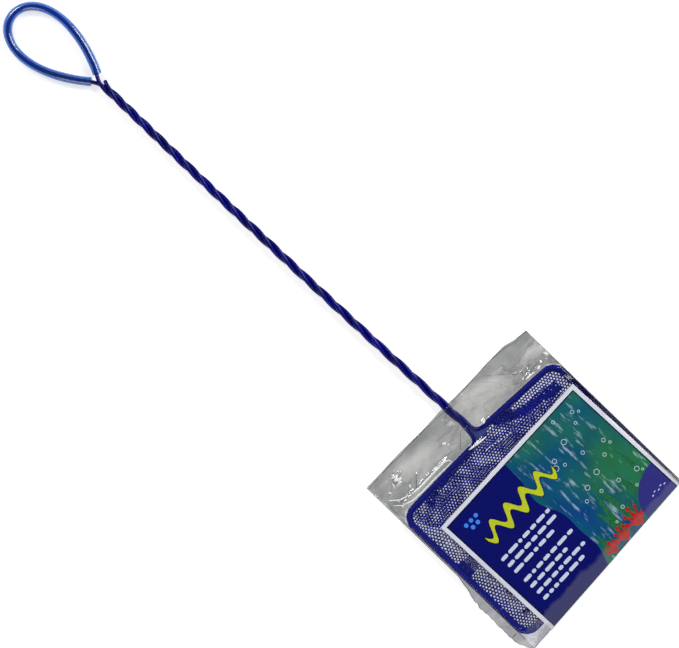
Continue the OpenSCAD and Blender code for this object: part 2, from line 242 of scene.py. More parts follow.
def unit(v):
    """Directions made one long."""
    return v / np.linalg.norm(v, axis=-1, keepdims=True)


def turned(points, turn):
    """The points turned about the vertical."""
    c, s = math.cos(turn), math.sin(turn)
    x, y, z = np.moveaxis(np.asarray(points, float), -1, 0)
    return np.stack([x * c - y * s, x * s + y * c, z], -1)


def bezier(p0, p1, p2, p3, count):
    """Points of the curve with these four handles."""
    t = np.linspace(0, 1, count + 1)[:, None]
    u = 1 - t
    return u**3 * p0 + 3 * u * u * t * p1 + 3 * u * t * t * p2 + t**3 * p3


def joined(*runs):
    """Runs of points end to end, where each starts at the last one's end."""
    return np.concatenate([runs[0], *(run[1:] for run in runs[1:])])


def measured(points):
    """Distance along the points, from the first."""
    return np.concatenate([[0], np.cumsum(np.linalg.norm(np.diff(points, axis=0), axis=1))])


def resampled(points, step):
    """The same line with evenly spaced points."""
    along = measured(points)
    count = max(2, round(along[-1] / step) + 1)
    to = np.linspace(0, along[-1], count)
    return np.stack([np.interp(to, along, points[:, k]) for k in range(3)], -1)


def headings(points):
    """Direction of a line at each of its points."""
    ahead = np.vstack([points[1:], points[-1:]])
    behind = np.vstack([points[:1], points[:-1]])
    return unit(ahead - behind)


def carried_sides(ways):
    """A side direction at each point, carried along the line without twisting."""
    side = np.array([0.0, 0.0, 1.0])
    out = []
    for way in ways:
        side = side - side.dot(way) * way
        side = side / np.linalg.norm(side)
        out.append(side)
    return np.array(out)


def rings_round(points, ways, sides, section):
    """Rings of a section, given as (across, up) pairs, set on a line."""
    ups = np.cross(ways, sides)
    section = np.broadcast_to(section, (len(points), *np.shape(section)[-2:]))
    return points[:, None] + section[..., :1] * sides[:, None] + section[..., 1:] * ups[:, None]


def round_section(radius, count):
    """A circle's (across, up) pairs."""
    turn = np.linspace(0, 2 * math.pi, count, endpoint=False)
    return radius * np.stack([np.cos(turn), np.sin(turn)], -1)


def skin(rings, caps=True):
    """Points and faces of the skin over rings of equal count."""
    rows, count = rings.shape[:2]
    at = np.arange(rows * count).reshape(rows, count)
    following = np.roll(at, -1, axis=1)
    faces = np.stack([at[:-1], following[:-1], following[1:], at[1:]], -1).reshape(-1, 4).tolist()
    if caps:
        faces += [at[0, ::-1].tolist(), at[-1].tolist()]
    return rings.reshape(-1, 3), faces


def sheet_grid(points):
    """Points and faces of a sheet given as a grid of points, facing up where rows run along +X and columns +Y."""
    rows, count = points.shape[:2]
    at = np.arange(rows * count).reshape(rows, count)
    faces = np.stack([at[:-1, :-1], at[1:, :-1], at[1:, 1:], at[:-1, 1:]], -1).reshape(-1, 4).tolist()
    return points.reshape(-1, 3), faces


def slab(top, depth):
    """A grid of points as a closed sheet of the given depth, with its edge drawn out a little at the waist."""
    rows, count = top.shape[:2]
    points, faces = sheet_grid(top)
    size = len(points)
    at = np.arange(size).reshape(rows, count)
    rim = np.concatenate([at[:, 0], at[-1, 1:], at[::-1, -1][1:], at[0, ::-1][1:-1]])
    out = points[rim] - top.mean(axis=(0, 1))
    waist = points[rim] + 0.3 * depth * unit(out * [1, 1, 0]) - [0, 0, depth / 2]
    rest = np.roll(np.arange(len(rim)), -1)
    upper, lower, edge = rim, rim + size, 2 * size + np.arange(len(rim))
    faces += [[size + i for i in reversed(f)] for f in faces]
    faces += np.stack([edge, edge[rest], upper[rest], upper], -1).tolist()
    faces += np.stack([lower, lower[rest], edge[rest], edge], -1).tolist()
    return np.concatenate([points, points - [0, 0, depth], waist]), faces


def merged(parts):
    """Several point and face lists as one."""
    points, faces, start = [], [], 0
    for some, their_faces in parts:
        points.append(some)
        faces += [[start + i for i in f] for f in their_faces]
        start += len(some)
    return np.concatenate(points), faces


def placed(name, data):
    """A new object in the scene."""
    thing = bpy.data.objects.new(name, data)
    bpy.context.scene.collection.objects.link(thing)
    return thing


def make_piece(name, shape, material, body, nodes=(), sharp=None):
    """A finished piece from points and faces, riding on its body and standing for its nodes."""
    points, faces = shape
    mesh = bpy.data.meshes.new(name)
    mesh.from_pydata(points.tolist(), [], faces)
    mesh.materials.append(material)
    mesh.shade_smooth()
    if sharp is not None:
        mesh.set_sharp_from_angle(angle=math.radians(sharp))
    piece = placed(name, mesh)
    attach(piece, body)
    if nodes:
        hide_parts(*nodes)
    return piece


def waves(x, y, size, seed, octaves=3):
    """Smooth, repeatable ripples from about -1 to 1, with crests about size apart."""
    turns = np.random.default_rng(seed)
    total = np.zeros(np.broadcast(x, y).shape)
    weight = 0.0
    for octave in range(octaves):
        for _ in range(4):
            way, phase = turns.uniform(0, 2 * math.pi, 2)
            stretch = turns.uniform(0.7, 1.4) * 2**octave * 2 * math.pi / size
            total = total + np.sin((x * math.cos(way) + y * math.sin(way)) * stretch + phase) / 2**octave
        weight += 2 / 2**octave
    return total / weight


# The wire's centre line, as the CAD model draws it

STRANDS = {"short": 0.0, "outward": 2 * math.pi / 3, "return": 4 * math.pi / 3}  # turn that each starts at
LAY_STEPS = 56  # steps over the twist that set the wire's direction at its ends
RINGS_TURN = 44  # rings of the coat over one turn of the twist


def on_twist(net, s, phase, spring=0.0):
    """Point on a strand, with s from 0 at the loop to the twist's length at the neck, sprung out by spring."""
    w = net.wire
    s = np.asarray(s, float)
    part = s / w.twist_length
    turn = phase + 2 * math.pi * w.turns * np.log1p(w.lay_growth * part) / math.log1p(w.lay_growth)
    r = (2 * w.coat_radius + w.strand_gap) / math.sqrt(3) + spring
    local = np.stack(
        [s - w.twist_length, r * np.cos(turn) - w.bow * np.sin(math.pi * part), r * np.sin(turn)], -1
    )
    return np.array(w.neck) + turned(local, w.lean)


def on_loop(net, t):
    """Point on the teardrop, with t from 0 at its base over the tip, at pi, back to the base."""
    w, loop = net.wire, net.loop
    t = np.asarray(t, float)
    peak = 2 * ((loop.taper + 1) / (loop.taper + 2)) ** ((loop.taper + 1) / 2) / math.sqrt(loop.taper + 2)
    across = loop.width / 2 * np.sin(t) * np.abs(np.sin(t / 2)) ** loop.taper / peak
    local = turned(np.stack([-loop.length * (1 - np.cos(t)) / 2, across, 0 * t], -1), loop.lean)
    local = local - [w.twist_length + loop.base * loop.length, 0, 0]
    return np.array(w.neck) + turned(local, w.lean)


def loop_turn(net, along):
    """The teardrop's t at a distance from its base."""
    return math.acos(1 - 2 * along / net.loop.length)


def strand_line(net, strand, spring=0.0):
    """A strand from the loop to the neck, with its first end sprung out."""
    w = net.wire
    s = np.linspace(0, w.twist_length, round(RINGS_TURN * w.turns))
    return on_twist(net, s, STRANDS[strand], spring * np.clip(1 - s / w.end_length, 0, None) ** 2)


def loop_joint(net, t, back, strand):
    """Wire from a leg of the loop into the twist."""
    leg = on_loop(net, t)
    leg_way = unit(on_loop(net, t - back * math.radians(1)) - leg)
    lay = on_twist(net, 0, STRANDS[strand])
    lay_way = unit(on_twist(net, net.wire.twist_length / LAY_STEPS, STRANDS[strand]) - lay)
    pull = np.linalg.norm(lay - leg) / 3
    return bezier(leg, leg + pull * leg_way, lay - pull * lay_way, lay, 18)


def bar_slant(hoop, side):
    """Angle of one half of the near bar."""
    return math.atan2(hoop.shoulder_right if side > 0 else hoop.shoulder_left, hoop.side_y)


def bar_point(net, side, y):
    """Point on the right (1) or left (-1) half of the near bar."""
    hoop = net.hoop
    shoulder = hoop.shoulder_right if side > 0 else hoop.shoulder_left
    return np.array([-hoop.bar_x - shoulder * (1 - side * y / hoop.side_y), y, net.wire.neck[2]])


def bar_way(net, side):
    """Direction of one half of the near bar, away from the neck."""
    slant = bar_slant(net.hoop, side)
    return np.array([math.sin(slant), side * math.cos(slant), 0.0])


def bar_start(net, side):
    """Where the neck's bend has reached one half of the near bar."""
    return bar_point(net, side, net.wire.neck[1] + side * net.wire.neck_pull)


def neck_line(net, strand, side):
    """Wire from the twist out on to one half of the near bar."""
    w = net.wire
    lay = on_twist(net, w.twist_length, STRANDS[strand])
    lay_way = unit(lay - on_twist(net, w.twist_length * (1 - 1 / LAY_STEPS), STRANDS[strand]))
    bar = bar_start(net, side)
    pull = np.linalg.norm(bar - lay) / 2
    return bezier(lay, lay + pull * lay_way, bar - pull * bar_way(net, side), bar, 24)


def necks(net):
    """The wire's two bends on to the near bar, the left one first."""
    return neck_line(net, "outward", -1), neck_line(net, "short", 1)


def hoop_half(net, side):
    """The hoop's centre line from the near bar's start round to the middle of the far bar."""
    hoop, z = net.hoop, net.wire.neck[2]
    turn = math.pi / 2 - bar_slant(hoop, side)
    tangent = hoop.corner * math.tan(turn / 2)

    def bend(x, start, end):
        a = side * np.linspace(start, end, 16)
        middle = np.array([x, side * (hoop.side_y - hoop.corner), z])
        return middle + hoop.corner * np.stack([np.cos(a), np.sin(a), 0 * a], -1)

    near = bend(tangent - hoop.bar_x, math.pi / 2 + turn, math.pi / 2)
    far = bend(hoop.bar_x - hoop.corner, math.pi / 2, 0)
    return np.concatenate([[bar_start(net, side)], near, far, [[hoop.bar_x, 0, z]]])


def hoop_line(net):
    """The hoop's centre line with the mouth on its right, from the right neck to the left one."""
    return joined(hoop_half(net, 1), hoop_half(net, -1)[::-1])


def wire_runs(net):
    """The whole wire from cut end to cut end, as one run of points for each length of the coat."""
    leg = loop_turn(net, net.loop.leg * net.loop.length)
    neck_left, neck_right = necks(net)
    return {
        "strand_return": strand_line(net, "return")[::-1],
        "leg_return": loop_joint(net, 2 * math.pi - leg, -1, "return")[::-1],
        "loop_coat": on_loop(net, np.linspace(2 * math.pi - leg, leg, 120)),
        "leg_outward": loop_joint(net, leg, 1, "outward"),
        "strand_outward": strand_line(net, "outward"),
        "neck_left": neck_left,
        "hoop_coat": resampled(hoop_line(net)[::-1], 2 * MM),
        "neck_right": neck_right[::-1],
        "strand_short": strand_line(net, "short", net.wire.end_spring)[::-1],
    }


# Finishes


class Link:
    """What a node of a finish gives, which can be used in formulas where it is a number."""

    def __init__(self, finish, socket):
        self.finish, self.socket = finish, socket

    def __add__(self, other):
        return self.finish.math("ADD", self, other)

    def __sub__(self, other):
        return self.finish.math("SUBTRACT", self, other)

    def __rsub__(self, other):
        return self.finish.math("SUBTRACT", other, self)

    def __mul__(self, other):
        return self.finish.math("MULTIPLY", self, other)

    def __pow__(self, other):
        return self.finish.math("POWER", self, other)

    def __abs__(self):
        return self.finish.math("ABSOLUTE", self)


class Finish:
    """A material being made: its node tree and its main shader."""

    def __init__(self, name, base, roughness, **sockets):
        self.material = bpy.data.materials.new(name)
        self.material.use_nodes = True
        self.tree = self.material.node_tree
        self.shader = self.tree.nodes["Principled BSDF"]
        self.main = Link(self, self.shader.outputs[0])
        self.drive("Base Color", base)
        self.drive("Roughness", roughness)
        for socket, value in sockets.items():
            self.drive(socket.replace("_", " "), value)
        self.place = self.node("ShaderNodeTexCoord", {}, "Object")

    def feed(self, socket, value):
        """Links an input to what a node gives, or sets it to a number, a colour or a direction."""
        if isinstance(value, Link):
            self.tree.links.new(value.socket, socket)
        elif socket.type == "RGBA" and len(value) == 3:
            socket.default_value = (*value, 1)
        else:
            socket.default_value = value

    def drive(self, socket, value):
        """Sets or links an input of the main shader."""
        self.feed(self.shader.inputs[socket], value)

    def node(self, kind, inputs, output=0, **settings):
        """What a new node gives, with its settings made and its inputs set or linked, by name or number."""
        made = self.tree.nodes.new(kind)
        for key, value in settings.items():
            setattr(made, key, value)
        for key, value in inputs.items():
            self.feed(made.inputs[key], value)
        return Link(self, made.outputs[output])

    def show(self, surface):
        """Takes the surface in place of the main shader's."""
        self.feed(self.tree.nodes["Material Output"].inputs["Surface"], surface)

    def noise(self, spacing, detail=2.0, place=None):
        """Even noise whose spots are about spacing across."""
        return self.node("ShaderNodeTexNoise", {"Vector": place or self.place, "Scale": 1 / spacing, "Detail": detail})

    def drawn_out(self, scale, turn):
        """The place, drawn out and turned, for noise that runs one way."""
        return self.node("ShaderNodeMapping", {"Vector": self.place, "Scale": scale, "Rotation": (0, 0, turn)})

    def ramp(self, value, *stops):
        """Colours or shares along a value, as (place, colour) stops."""
        link = self.node("ShaderNodeValToRGB", {"Fac": value})
        line = link.socket.node.color_ramp
        while len(line.elements) < len(stops):
            line.elements.new(0.5)
        for element, (at, shade) in zip(line.elements, stops):
            element.position = at
            element.color = (*shade, 1) if hasattr(shade, "__len__") else (shade, shade, shade, 1)
        return link

    def tones(self, value, base, *stops):
        """Lighter and darker tones of a colour along a value, as (place, tone) stops."""
        return self.ramp(value, *((at, tinted(base, tone)) for at, tone in stops))

    def math(self, operation, first, second=0.0):
        """A number worked out from one or two others."""
        return self.node("ShaderNodeMath", {0: first, 1: second}, operation=operation)

    def most(self, first, *others):
        """The largest of several numbers."""
        for other in others:
            first = self.math("MAXIMUM", first, other)
        return first

    def between(self, value, low, high):
        """A value from 0 to 1 as a number from low to high."""
        return self.node("ShaderNodeMapRange", {"Value": value, "To Min": low, "To Max": high})

    def past(self, value, inner, outer):
        """0 before the inner place and 1 past the outer one, both in millimetres."""
        return self.node("ShaderNodeMapRange", {"Value": value, "From Min": inner * MM, "From Max": outer * MM})

    def axis(self, vector, letter):
        """One of a direction's or a place's three parts."""
        return self.node("ShaderNodeSeparateXYZ", {"Vector": vector}, letter)

    def facing(self, **inputs):
        """How far the surface is turned away, from 0 to 1."""
        return self.node("ShaderNodeLayerWeight", {"Blend": 0.5, **inputs}, "Facing")

    def mixed(self, fac, first, second, how="MIX"):
        """Two colours, given or linked, mixed by a share."""
        return self.node("ShaderNodeMix", {0: fac, 6: first, 7: second}, 2, data_type="RGBA", blend_type=how)

    def layered(self, fac, under, over):
        """Two surfaces, mixed by a share."""
        return self.node("ShaderNodeMixShader", {0: fac, 1: under, 2: over})

    def relief(self, height, distance, strength):
        """Surface direction over a relief, with its depth in metres."""
        return self.node("ShaderNodeBump", {"Height": height, "Distance": distance, "Strength": strength})

    def bump(self, height, distance, strength=1.0):
        """Gives the main shader a relief."""
        self.drive("Normal", self.relief(height, distance, strength))


def tinted(base, by):
    """A colour made lighter or darker."""
    return [min(1.0, c * by) for c in base]


def vinyl_finish(colours):
    """Glossy soft vinyl with the faint waves and dust of an extruded coat."""
    f = Finish("navy_vinyl", colours.vinyl, 0.3, IOR=1.5, Specular_IOR_Level=0.18)
    f.drive("Base Color", f.tones(f.noise(14 * MM, 3), colours.vinyl, (0.3, 0.55), (0.55, 0.85), (0.75, 1.25)))
    f.drive("Roughness", f.between(f.noise(3 * MM, 4), 0.16, 0.3))
    f.bump(f.noise(1.6 * MM, 3), 0.05 * MM, 0.5)
    return f.material


def tube_finish(name, colours, flank):
    """Clear, tinted soft tube: light passes tinted through its walls, and less of it where they turn away."""
    f = Finish(name, tinted(colours.tube, 0.8), 0.2, IOR=1.45, Specular_IOR_Level=0.4)
    patches = f.noise(22 * MM, 2)
    tint = f.tones(patches, colours.tube_clear, (0.35, 0.9), (0.65, 1.0))
    clear = f.node("ShaderNodeBsdfTransparent", {"Color": tint})
    f.drive("Base Color", f.tones(patches, colours.tube, (0.35, 0.55), (0.65, 0.75)))
    f.drive("Roughness", f.between(f.noise(4 * MM, 3), 0.1, 0.26))
    f.bump(f.noise(5 * MM, 2), 0.08 * MM, 0.4)
    turned_away = f.facing()
    body = turned_away ** 2.0 * flank + 0.2 * flank
    gloss = f.node("ShaderNodeBsdfGlossy", {"Color": (1, 1, 1, 1), "Roughness": 0.18})
    mirror = turned_away ** 5.0 * (0.3 * flank) + 0.07 * flank
    f.show(f.layered(mirror, f.layered(f.math("MINIMUM", body, 1.0), clear, f.main), gloss))
    return f.material


def knit_finish(name, base, spacing, depth, sheen):
    """Dense knitted nylon: rows of tight cells with painted shade in their hollows and lighter rims, and a soft sheen.
    """
    f = Finish(
        name, base, 0.62, Specular_IOR_Level=0.15,
        Sheen_Weight=sheen, Sheen_Roughness=0.4, Sheen_Tint=tinted(base, 2.5),
    )
    cells = f.node("ShaderNodeTexVoronoi", {"Vector": f.place, "Scale": 1 / spacing, "Randomness": 0.25})
    patches = f.noise(6 * MM, 3)
    # Painted shade: each cell darkens towards its hollow and lightens towards its rim
    shade = f.tones(cells, base, (0.15, 0.35), (0.4, 1.0), (0.65, 2.2))
    f.drive("Base Color", f.mixed(f.between(patches, 0.0, 0.5), shade, tinted(base, 1.35)))
    f.drive("Roughness", f.between(patches, 0.5, 0.75))
    f.bump(cells + patches * 0.8, depth, 0.8)
    return f.material


def net_finish(colours):
    """Bright nylon thread, a little glossy."""
    f = Finish("nylon_net", colours.net, 0.4, Specular_IOR_Level=0.2)
    f.drive("Base Color", f.tones(f.noise(9 * MM, 2), colours.net, (0.3, 0.75), (0.5, 1.0), (0.7, 1.35)))
    return f.material


def thread_finish(colours):
    """Plied sewing thread."""
    f = Finish("sewing_thread", colours.thread, 0.5, Sheen_Weight=0.3)
    ply = f.node("ShaderNodeTexWave", {"Vector": f.place, "Scale": 1 / (1.2 * MM), "Distortion": 2.0}, "Fac")
    f.drive("Base Color", f.tones(ply, colours.thread, (0.2, 0.6), (0.8, 1.0)))
    f.bump(ply, 0.04 * MM)
    return f.material


def card_finish(colours):
    """Coated white card with a faint fibre and a slight yellowing."""
    f = Finish("coated_card", colours.card, 0.38, IOR=1.48, Coat_Weight=0.15)
    f.drive("Base Color", f.mixed(f.between(f.noise(25 * MM), 0.0, 0.6), colours.card, tinted(colours.card, 0.93)))
    f.bump(f.noise(0.5 * MM, 4), 0.01 * MM, 0.4)
    return f.material


def ink_finish(name, base, spread=0.12):
    """Gloss printing ink with a fine screen and slight unevenness."""
    f = Finish(name, base, 0.3, Specular_IOR_Level=0.12)
    f.drive("Base Color", f.tones(f.noise(0.7 * MM, 4), base, (0.35, 1 - spread), (0.65, 1 + spread)))
    f.drive("Roughness", f.between(f.noise(8 * MM), 0.24, 0.38))
    return f.material


def water_finish(colours):
    """Printed water: teal, blue and green drifts with bright and dark ripple lines."""
    f = Finish("printed_water", colours.blue, 0.3, Specular_IOR_Level=0.12)
    none = (0, 0, 0)
    water = f.ramp(f.noise(60 * MM, 2), (0.3, colours.blue), (0.43, colours.teal), (0.58, colours.green))
    ripple = f.noise(2.6 * MM, 3, f.drawn_out((0.25, 1.0, 1.0), 0.1))
    lines = f.ramp(ripple, (0.3, tinted(colours.blue, 0.4)), (0.4, none), (0.57, none), (0.7, colours.pale))
    murk = f.ramp(f.noise(16 * MM, 4), (0.4, tinted(colours.blue, 0.45)), (0.6, tinted(colours.teal, 1.6)))
    f.drive("Base Color", f.mixed(0.15, f.mixed(0.5, water, lines, "ADD"), murk))
    return f.material


def film_finish(name, colours, tint, haze, painted_glare=0.0):
    """Thin clear polythene that shines in the lamps, with painted shade where it slopes, along fine creases and along
    its folded side, and with a darker tint outside the hoop.

    The tint and haze are those outside the hoop; the darker tint there is painted shade that makes the floor under the
    bag look grey, and its streaks are painted light and shade. The painted glare is a band of milky film over the
    card's far edge, lit by the lamps, that stands in for glare there.
    """
    f = Finish(name, colours.haze, 0.55, Specular_IOR_Level=0.1)
    along, across = f.axis(f.place, "X"), f.axis(f.place, "Y")

    # The near bar's right half stands out from the hoop, most at the fork
    stands_out = 4.0 * MM - across * 0.0646
    from_bar = along + f.past(across, 1.0, 3.0) * stands_out
    outside = f.most(
        f.past(from_bar, -50.0, -51.2),  # the near bar
        f.past(across, -62.7, -63.7),  # the left side
        f.past(along, 51.0, 53.0) * 0.45,  # the far bar, at under half strength
        f.past(across, 63.5, 63.9),  # the right side
        f.past(abs(across) - along, 109.0, 110.2),  # the two near corners
    )
    rise = f.noise(14 * MM, 4, f.drawn_out((1.0, 0.4, 1.0), 0.35))
    painted_patches = f.ramp(f.noise(26 * MM, 2), (0.4, 0.0), (0.6, 1.0))
    # Painted highlights: brighter milky streaks along the relief's contours, in patches
    painted_streaks = f.ramp(rise - 0.5, (0.02, 0.0), (0.05, 1.0), (0.09, 0.0))
    milk_and_painted_light = outside * ((painted_streaks * painted_patches * 3.0 + 1.0) * haze)
    if painted_glare:
        # The painted glare, a band of milky film, starts at a ragged line across the film
        ragged = along + (f.noise(9 * MM, 3) - 0.5) * (7 * MM)
        milk_and_painted_light = milk_and_painted_light + f.past(ragged, 45.0, 47.0) * painted_glare

    # Painted shade where the film slopes and along fine creases
    up = f.axis(f.node("ShaderNodeNewGeometry", {}, "Normal"), "Z")
    steep = f.math("SQRT", f.most(1.0 - up * up, 0.0))
    creases = f.ramp(abs(rise - 0.5), (0.0, 1.0), (0.02, 0.0))
    # Painted shade along the folded side, where the film turns down over the hem
    painted_fold_shade = f.past(along, -46.0, -38.0) * f.past(across, 61.3, 62.3)
    # dark is the share of painted shade: on slopes, on creases and along the folded side
    dark = steep ** 1.5 * (outside * 0.5 + 0.3) + creases * painted_patches * (outside * 0.3) + painted_fold_shade * 0.7
    # Outside the hoop the tint is darker, painted shade that greys the floor under the bag, with painted light and
    # dark streaks along the relief
    painted_shade_and_streaks = f.mixed(f.ramp(rise, (0.35, 0.0), (0.65, 1.0)), tinted(tint, 0.84), tinted(tint, 1.14))
    shade = f.mixed(f.math("MINIMUM", dark, 0.85), f.mixed(outside, colours.film, painted_shade_and_streaks), tinted(tint, 0.3))

    # Both faces of a thin sheet mirror alike, so its gloss grows with the angle alone
    relief = f.relief(rise + f.noise(3 * MM, 2) * 0.12, 0.6 * MM, 0.5)
    by_mouth = f.past(along, -44.0, -46.0) * f.past(across, 58.0, 54.0) * (steep * 0.09)
    mirror = outside * 0.03 + by_mouth + 0.02 + f.facing(Normal=relief) ** 5.0 * 0.3
    clear = f.node("ShaderNodeBsdfTransparent", {"Color": shade})
    gloss = f.node("ShaderNodeBsdfGlossy", {"Color": (1, 1, 1, 1), "Roughness": 0.14, "Normal": relief})
    f.show(f.layered(f.math("MINIMUM", mirror, 1.0), f.layered(milk_and_painted_light, clear, f.main), gloss))
    return f.material


def painted_glint_finish():
    """White film strips on the creases: painted glints where the lamps would shine on them."""
    f = Finish("painted_glint_film", (0.93, 0.93, 0.93), 0.2, Specular_IOR_Level=0.4)
    f.drive("Base Color", f.ramp(f.noise(2 * MM, 3), (0.35, (0.84, 0.84, 0.85)), (0.6, (0.95, 0.95, 0.95))))
    f.bump(f.noise(0.8 * MM, 3), 0.05 * MM, 0.5)
    return f.material


def steel_finish():
    """Drawn steel, seen at the wire's two cut ends."""
    f = Finish("drawn_steel", (0.56, 0.56, 0.58), 0.32, Metallic=1.0)
    drawn = f.noise(0.4 * MM, 4)
    f.drive("Roughness", f.between(drawn, 0.22, 0.45))
    f.bump(drawn, 0.02 * MM, 0.6)
    return f.material


def floor_finish(colours, glow):
    """Pale floor that keeps shadows and looks white to the camera and in gloss and glass."""
    f = Finish("pale_floor", colours.floor, 0.9, Emission_Color=(1, 1, 1, 1))
    seen = [f.node("ShaderNodeLightPath", {}, f"Is {kind} Ray") for kind in ("Camera", "Glossy", "Transmission")]
    f.drive("Emission Strength", f.most(*seen) * glow)
    return f.material


# Wire, grip and hem

COAT_SIDES = 20
TUBE_SIDES = 28
ROLL_SIDES = 22
UP = np.array([0, 0, 1.0])


def coat_rings(net, points, ways, sides, cut_start, cut_end):
    """Rings of one length of the coat, with its bore shown at a cut end."""
    w = net.wire
    rings = rings_round(points, ways, sides, round_section(w.coat_radius, COAT_SIDES))
    rounding = 0.1 * MM
    steps = ((w.bore_radius, 2 * MM), (w.bore_radius, 0.02 * MM), (w.coat_radius - 0.9 * rounding, 0.0))

    def rim(at, way):
        """Rings from the bore's depth out over the rounded rim."""
        return [points[at] - back * way + (rings[at] - points[at]) * radius / w.coat_radius for radius, back in steps]

    if cut_start:
        rings = np.concatenate([rim(0, -ways[0]), rings[:1] + rounding * ways[0], rings[1:]])
    if cut_end:
        rings = np.concatenate([rings[:-1], rings[-1:] - rounding * ways[-1], rim(-1, ways[-1])[::-1]])
    return rings


def hem_section(hoop):
    """Half-round fabric over the wire with a thin flange towards the mouth, as (out, up) pairs."""
    r, wide, deep = hoop.hem_radius, hoop.flange_width, hoop.flange_depth
    turn = np.radians(np.linspace(-90, 165, 22))
    over = r * np.stack([np.cos(turn), np.sin(turn)], -1)
    inner = [
        (-1.02 * r, -0.1 * r), (-r - 0.12 * wide, deep - 0.8 * r), (-r - 0.35 * wide, deep - 0.97 * r),
        (-r - 0.75 * wide, deep - r), (-r - 0.97 * wide, 0.75 * deep - r), (-r - wide, 0.4 * deep - r),
        (-r - 0.9 * wide, -r), (-0.5 * r, -r),
    ]
    return np.concatenate([over, inner])


def wrapped(line, section):
    """Rings of cloth wrapped round a line that lies level."""
    ways = headings(line)
    return rings_round(line, ways, np.cross(UP, ways), section)


def hem_rings(net, line):
    """The hem on a stretch of the hoop, wrinkled where the cloth is pulled round the wire."""
    section = hem_section(net.hoop)
    s = measured(line)[:, None]
    k = np.arange(len(section))[None, :]
    wrinkle = 0.045 * np.sin(s / (0.52 * MM) + 0.5 * k) + 0.05 * waves(s, k * 0.4 * MM, 5 * MM, 11)
    swollen = section[None] * (1 + 0.5 * wrinkle[..., None])
    frayed = np.where(section[:, 0] < -1.3 * net.hoop.hem_radius, 0.2 * MM, 0.0)
    swollen[..., 0] -= frayed * waves(s, 0 * s, 4 * MM, 5)
    return wrapped(line, swollen)


def stitch_row(line, step, across, height, size, radius, slant):
    """Short threads that dive into the cloth at both ends, on a line moved inwards by across and up by height.

    They slant to either side in turn.
    """
    spots = resampled(line, step)
    ways = headings(spots)
    inward = -np.cross(UP, ways)[1:-1]
    spots = spots[1:-1] + across * inward + [0, 0, height]
    slants = slant * np.where(np.arange(len(spots)) % 2, 1.0, -1.0)[:, None]
    t = np.linspace(-1, 1, 9)[:, None]
    bowed = radius * (2.0 * np.cos(t * math.pi / 2) - 1.2) * UP
    every = np.ones(t.shape)
    parts = []
    for spot, way in zip(spots, unit(ways[1:-1] + slants * inward)):
        side = unit(np.cross(way, UP))
        thread = spot + t * size / 2 * way + bowed
        parts.append(skin(rings_round(thread, every * way, every * side, round_section(radius, 6))))
    return merged(parts)


def span_between(line, low, high):
    """The part of a line between two distances along it."""
    along = measured(line)
    inside = (along > low) & (along < high)
    ends = [[np.interp(s, along, line[:, k]) for k in range(3)] for s in (low, high)]
    return np.concatenate([ends[:1], line[inside], ends[1:]])


def hoop_spans(net):
    """The hem's stretches of the hoop and the two side seams between them."""
    line = hoop_line(net)
    along = measured(line)
    seam_low, seam_high = (corner.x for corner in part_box("side_seam_right"))
    on_sides = np.abs(np.abs(line[:, 1]) - net.hoop.side_y) < 0.01 * MM
    cuts = [0]
    for side, xs in ((1, (seam_low, seam_high)), (-1, (seam_high, seam_low))):
        chosen = on_sides & (side * line[:, 1] > 0)
        order = np.argsort(line[chosen, 0])
        cuts += [np.interp(x, line[chosen, 0][order], along[chosen][order]) for x in xs]
    names = ("hem_near_right", "side_seam_right", "hem_far", "side_seam_left", "hem_near_left")
    ends = [*cuts[1:], along[-1]]
    return {name: span_between(line, low, high) for name, low, high in zip(names, cuts, ends)}


# Net

HOLE_SIDES = 12


def lattice(centres, pitch, hole, depth, seed):
    """Knitted net round the given hole centres: threads with a lens-shaped section and round holes.

    Each hole has a cell of six sides, with a corner of the mesh at the middle of each side and at each corner.
    """
    spread = np.random.default_rng(seed)
    thin, thick = 0.8, 1.15  # depth at the middle of a thread and at a knot, as shares
    count = len(centres)
    corner = np.arange(HOLE_SIDES)
    turn = np.radians(corner * 360 / HOLE_SIDES)
    reach = np.where(corner % 2, pitch / 2, pitch / math.sqrt(3))
    outer = centres[:, None] + np.stack([reach * np.cos(turn), reach * np.sin(turn)], -1)
    keys, where = np.unique(np.round(outer.reshape(-1, 2) / (pitch / 50)).astype(int), axis=0, return_inverse=True)
    where = where.reshape(count, HOLE_SIDES)
    webs = np.zeros((len(keys), 2))
    webs[where.ravel()] = outer.reshape(-1, 2)
    knots = np.zeros(len(keys))
    knots[where.ravel()] = np.tile(np.where(corner % 2, thin, thick), count)
    size = hole * (1 + 0.1 * spread.uniform(-1, 1, (count, 1)))
    lean = 1 + 0.12 * spread.uniform(-1, 1, (count, 1))
    holes = centres[:, None] + np.stack([size * lean * np.cos(turn), size / lean * np.sin(turn)], -1)
    top = np.column_stack([webs, knots * depth / 2])
    inner = np.column_stack([holes.reshape(-1, 2), np.zeros(holes.size // 2)])
    below = len(keys)
    hole_at = 2 * below + np.arange(count * HOLE_SIDES).reshape(-1, HOLE_SIDES)
    following, hole_next = np.roll(where, -1, 1), np.roll(hole_at, -1, 1)
    edges = np.stack([where, following], -1).reshape(-1, 2)
    _, first, times = np.unique(np.sort(edges, 1), axis=0, return_index=True, return_counts=True)
    start, end = edges[first[times == 1]].T
    faces = np.concatenate([
        np.stack([where, following, hole_next, hole_at], -1).reshape(-1, 4),
        np.stack([following + below, where + below, hole_at, hole_next], -1).reshape(-1, 4),
        np.stack([end, start, start + below, end + below], -1),
    ])
    return np.concatenate([top, top * [1, 1, -1], inner]), faces


def hole_centres(low, high, pitch):
    """Staggered hole centres over a rectangle."""
    row_step = pitch * math.sqrt(3) / 2
    rows = np.arange(math.floor(low[0] / row_step), math.ceil(high[0] / row_step) + 1)
    columns = np.arange(math.floor(low[1] / pitch) - 1, math.ceil(high[1] / pitch) + 2)
    i, j = np.meshgrid(rows, columns, indexing="ij")
    return np.stack([i * row_step, (j + (i % 2) / 2) * pitch], -1).reshape(-1, 2)


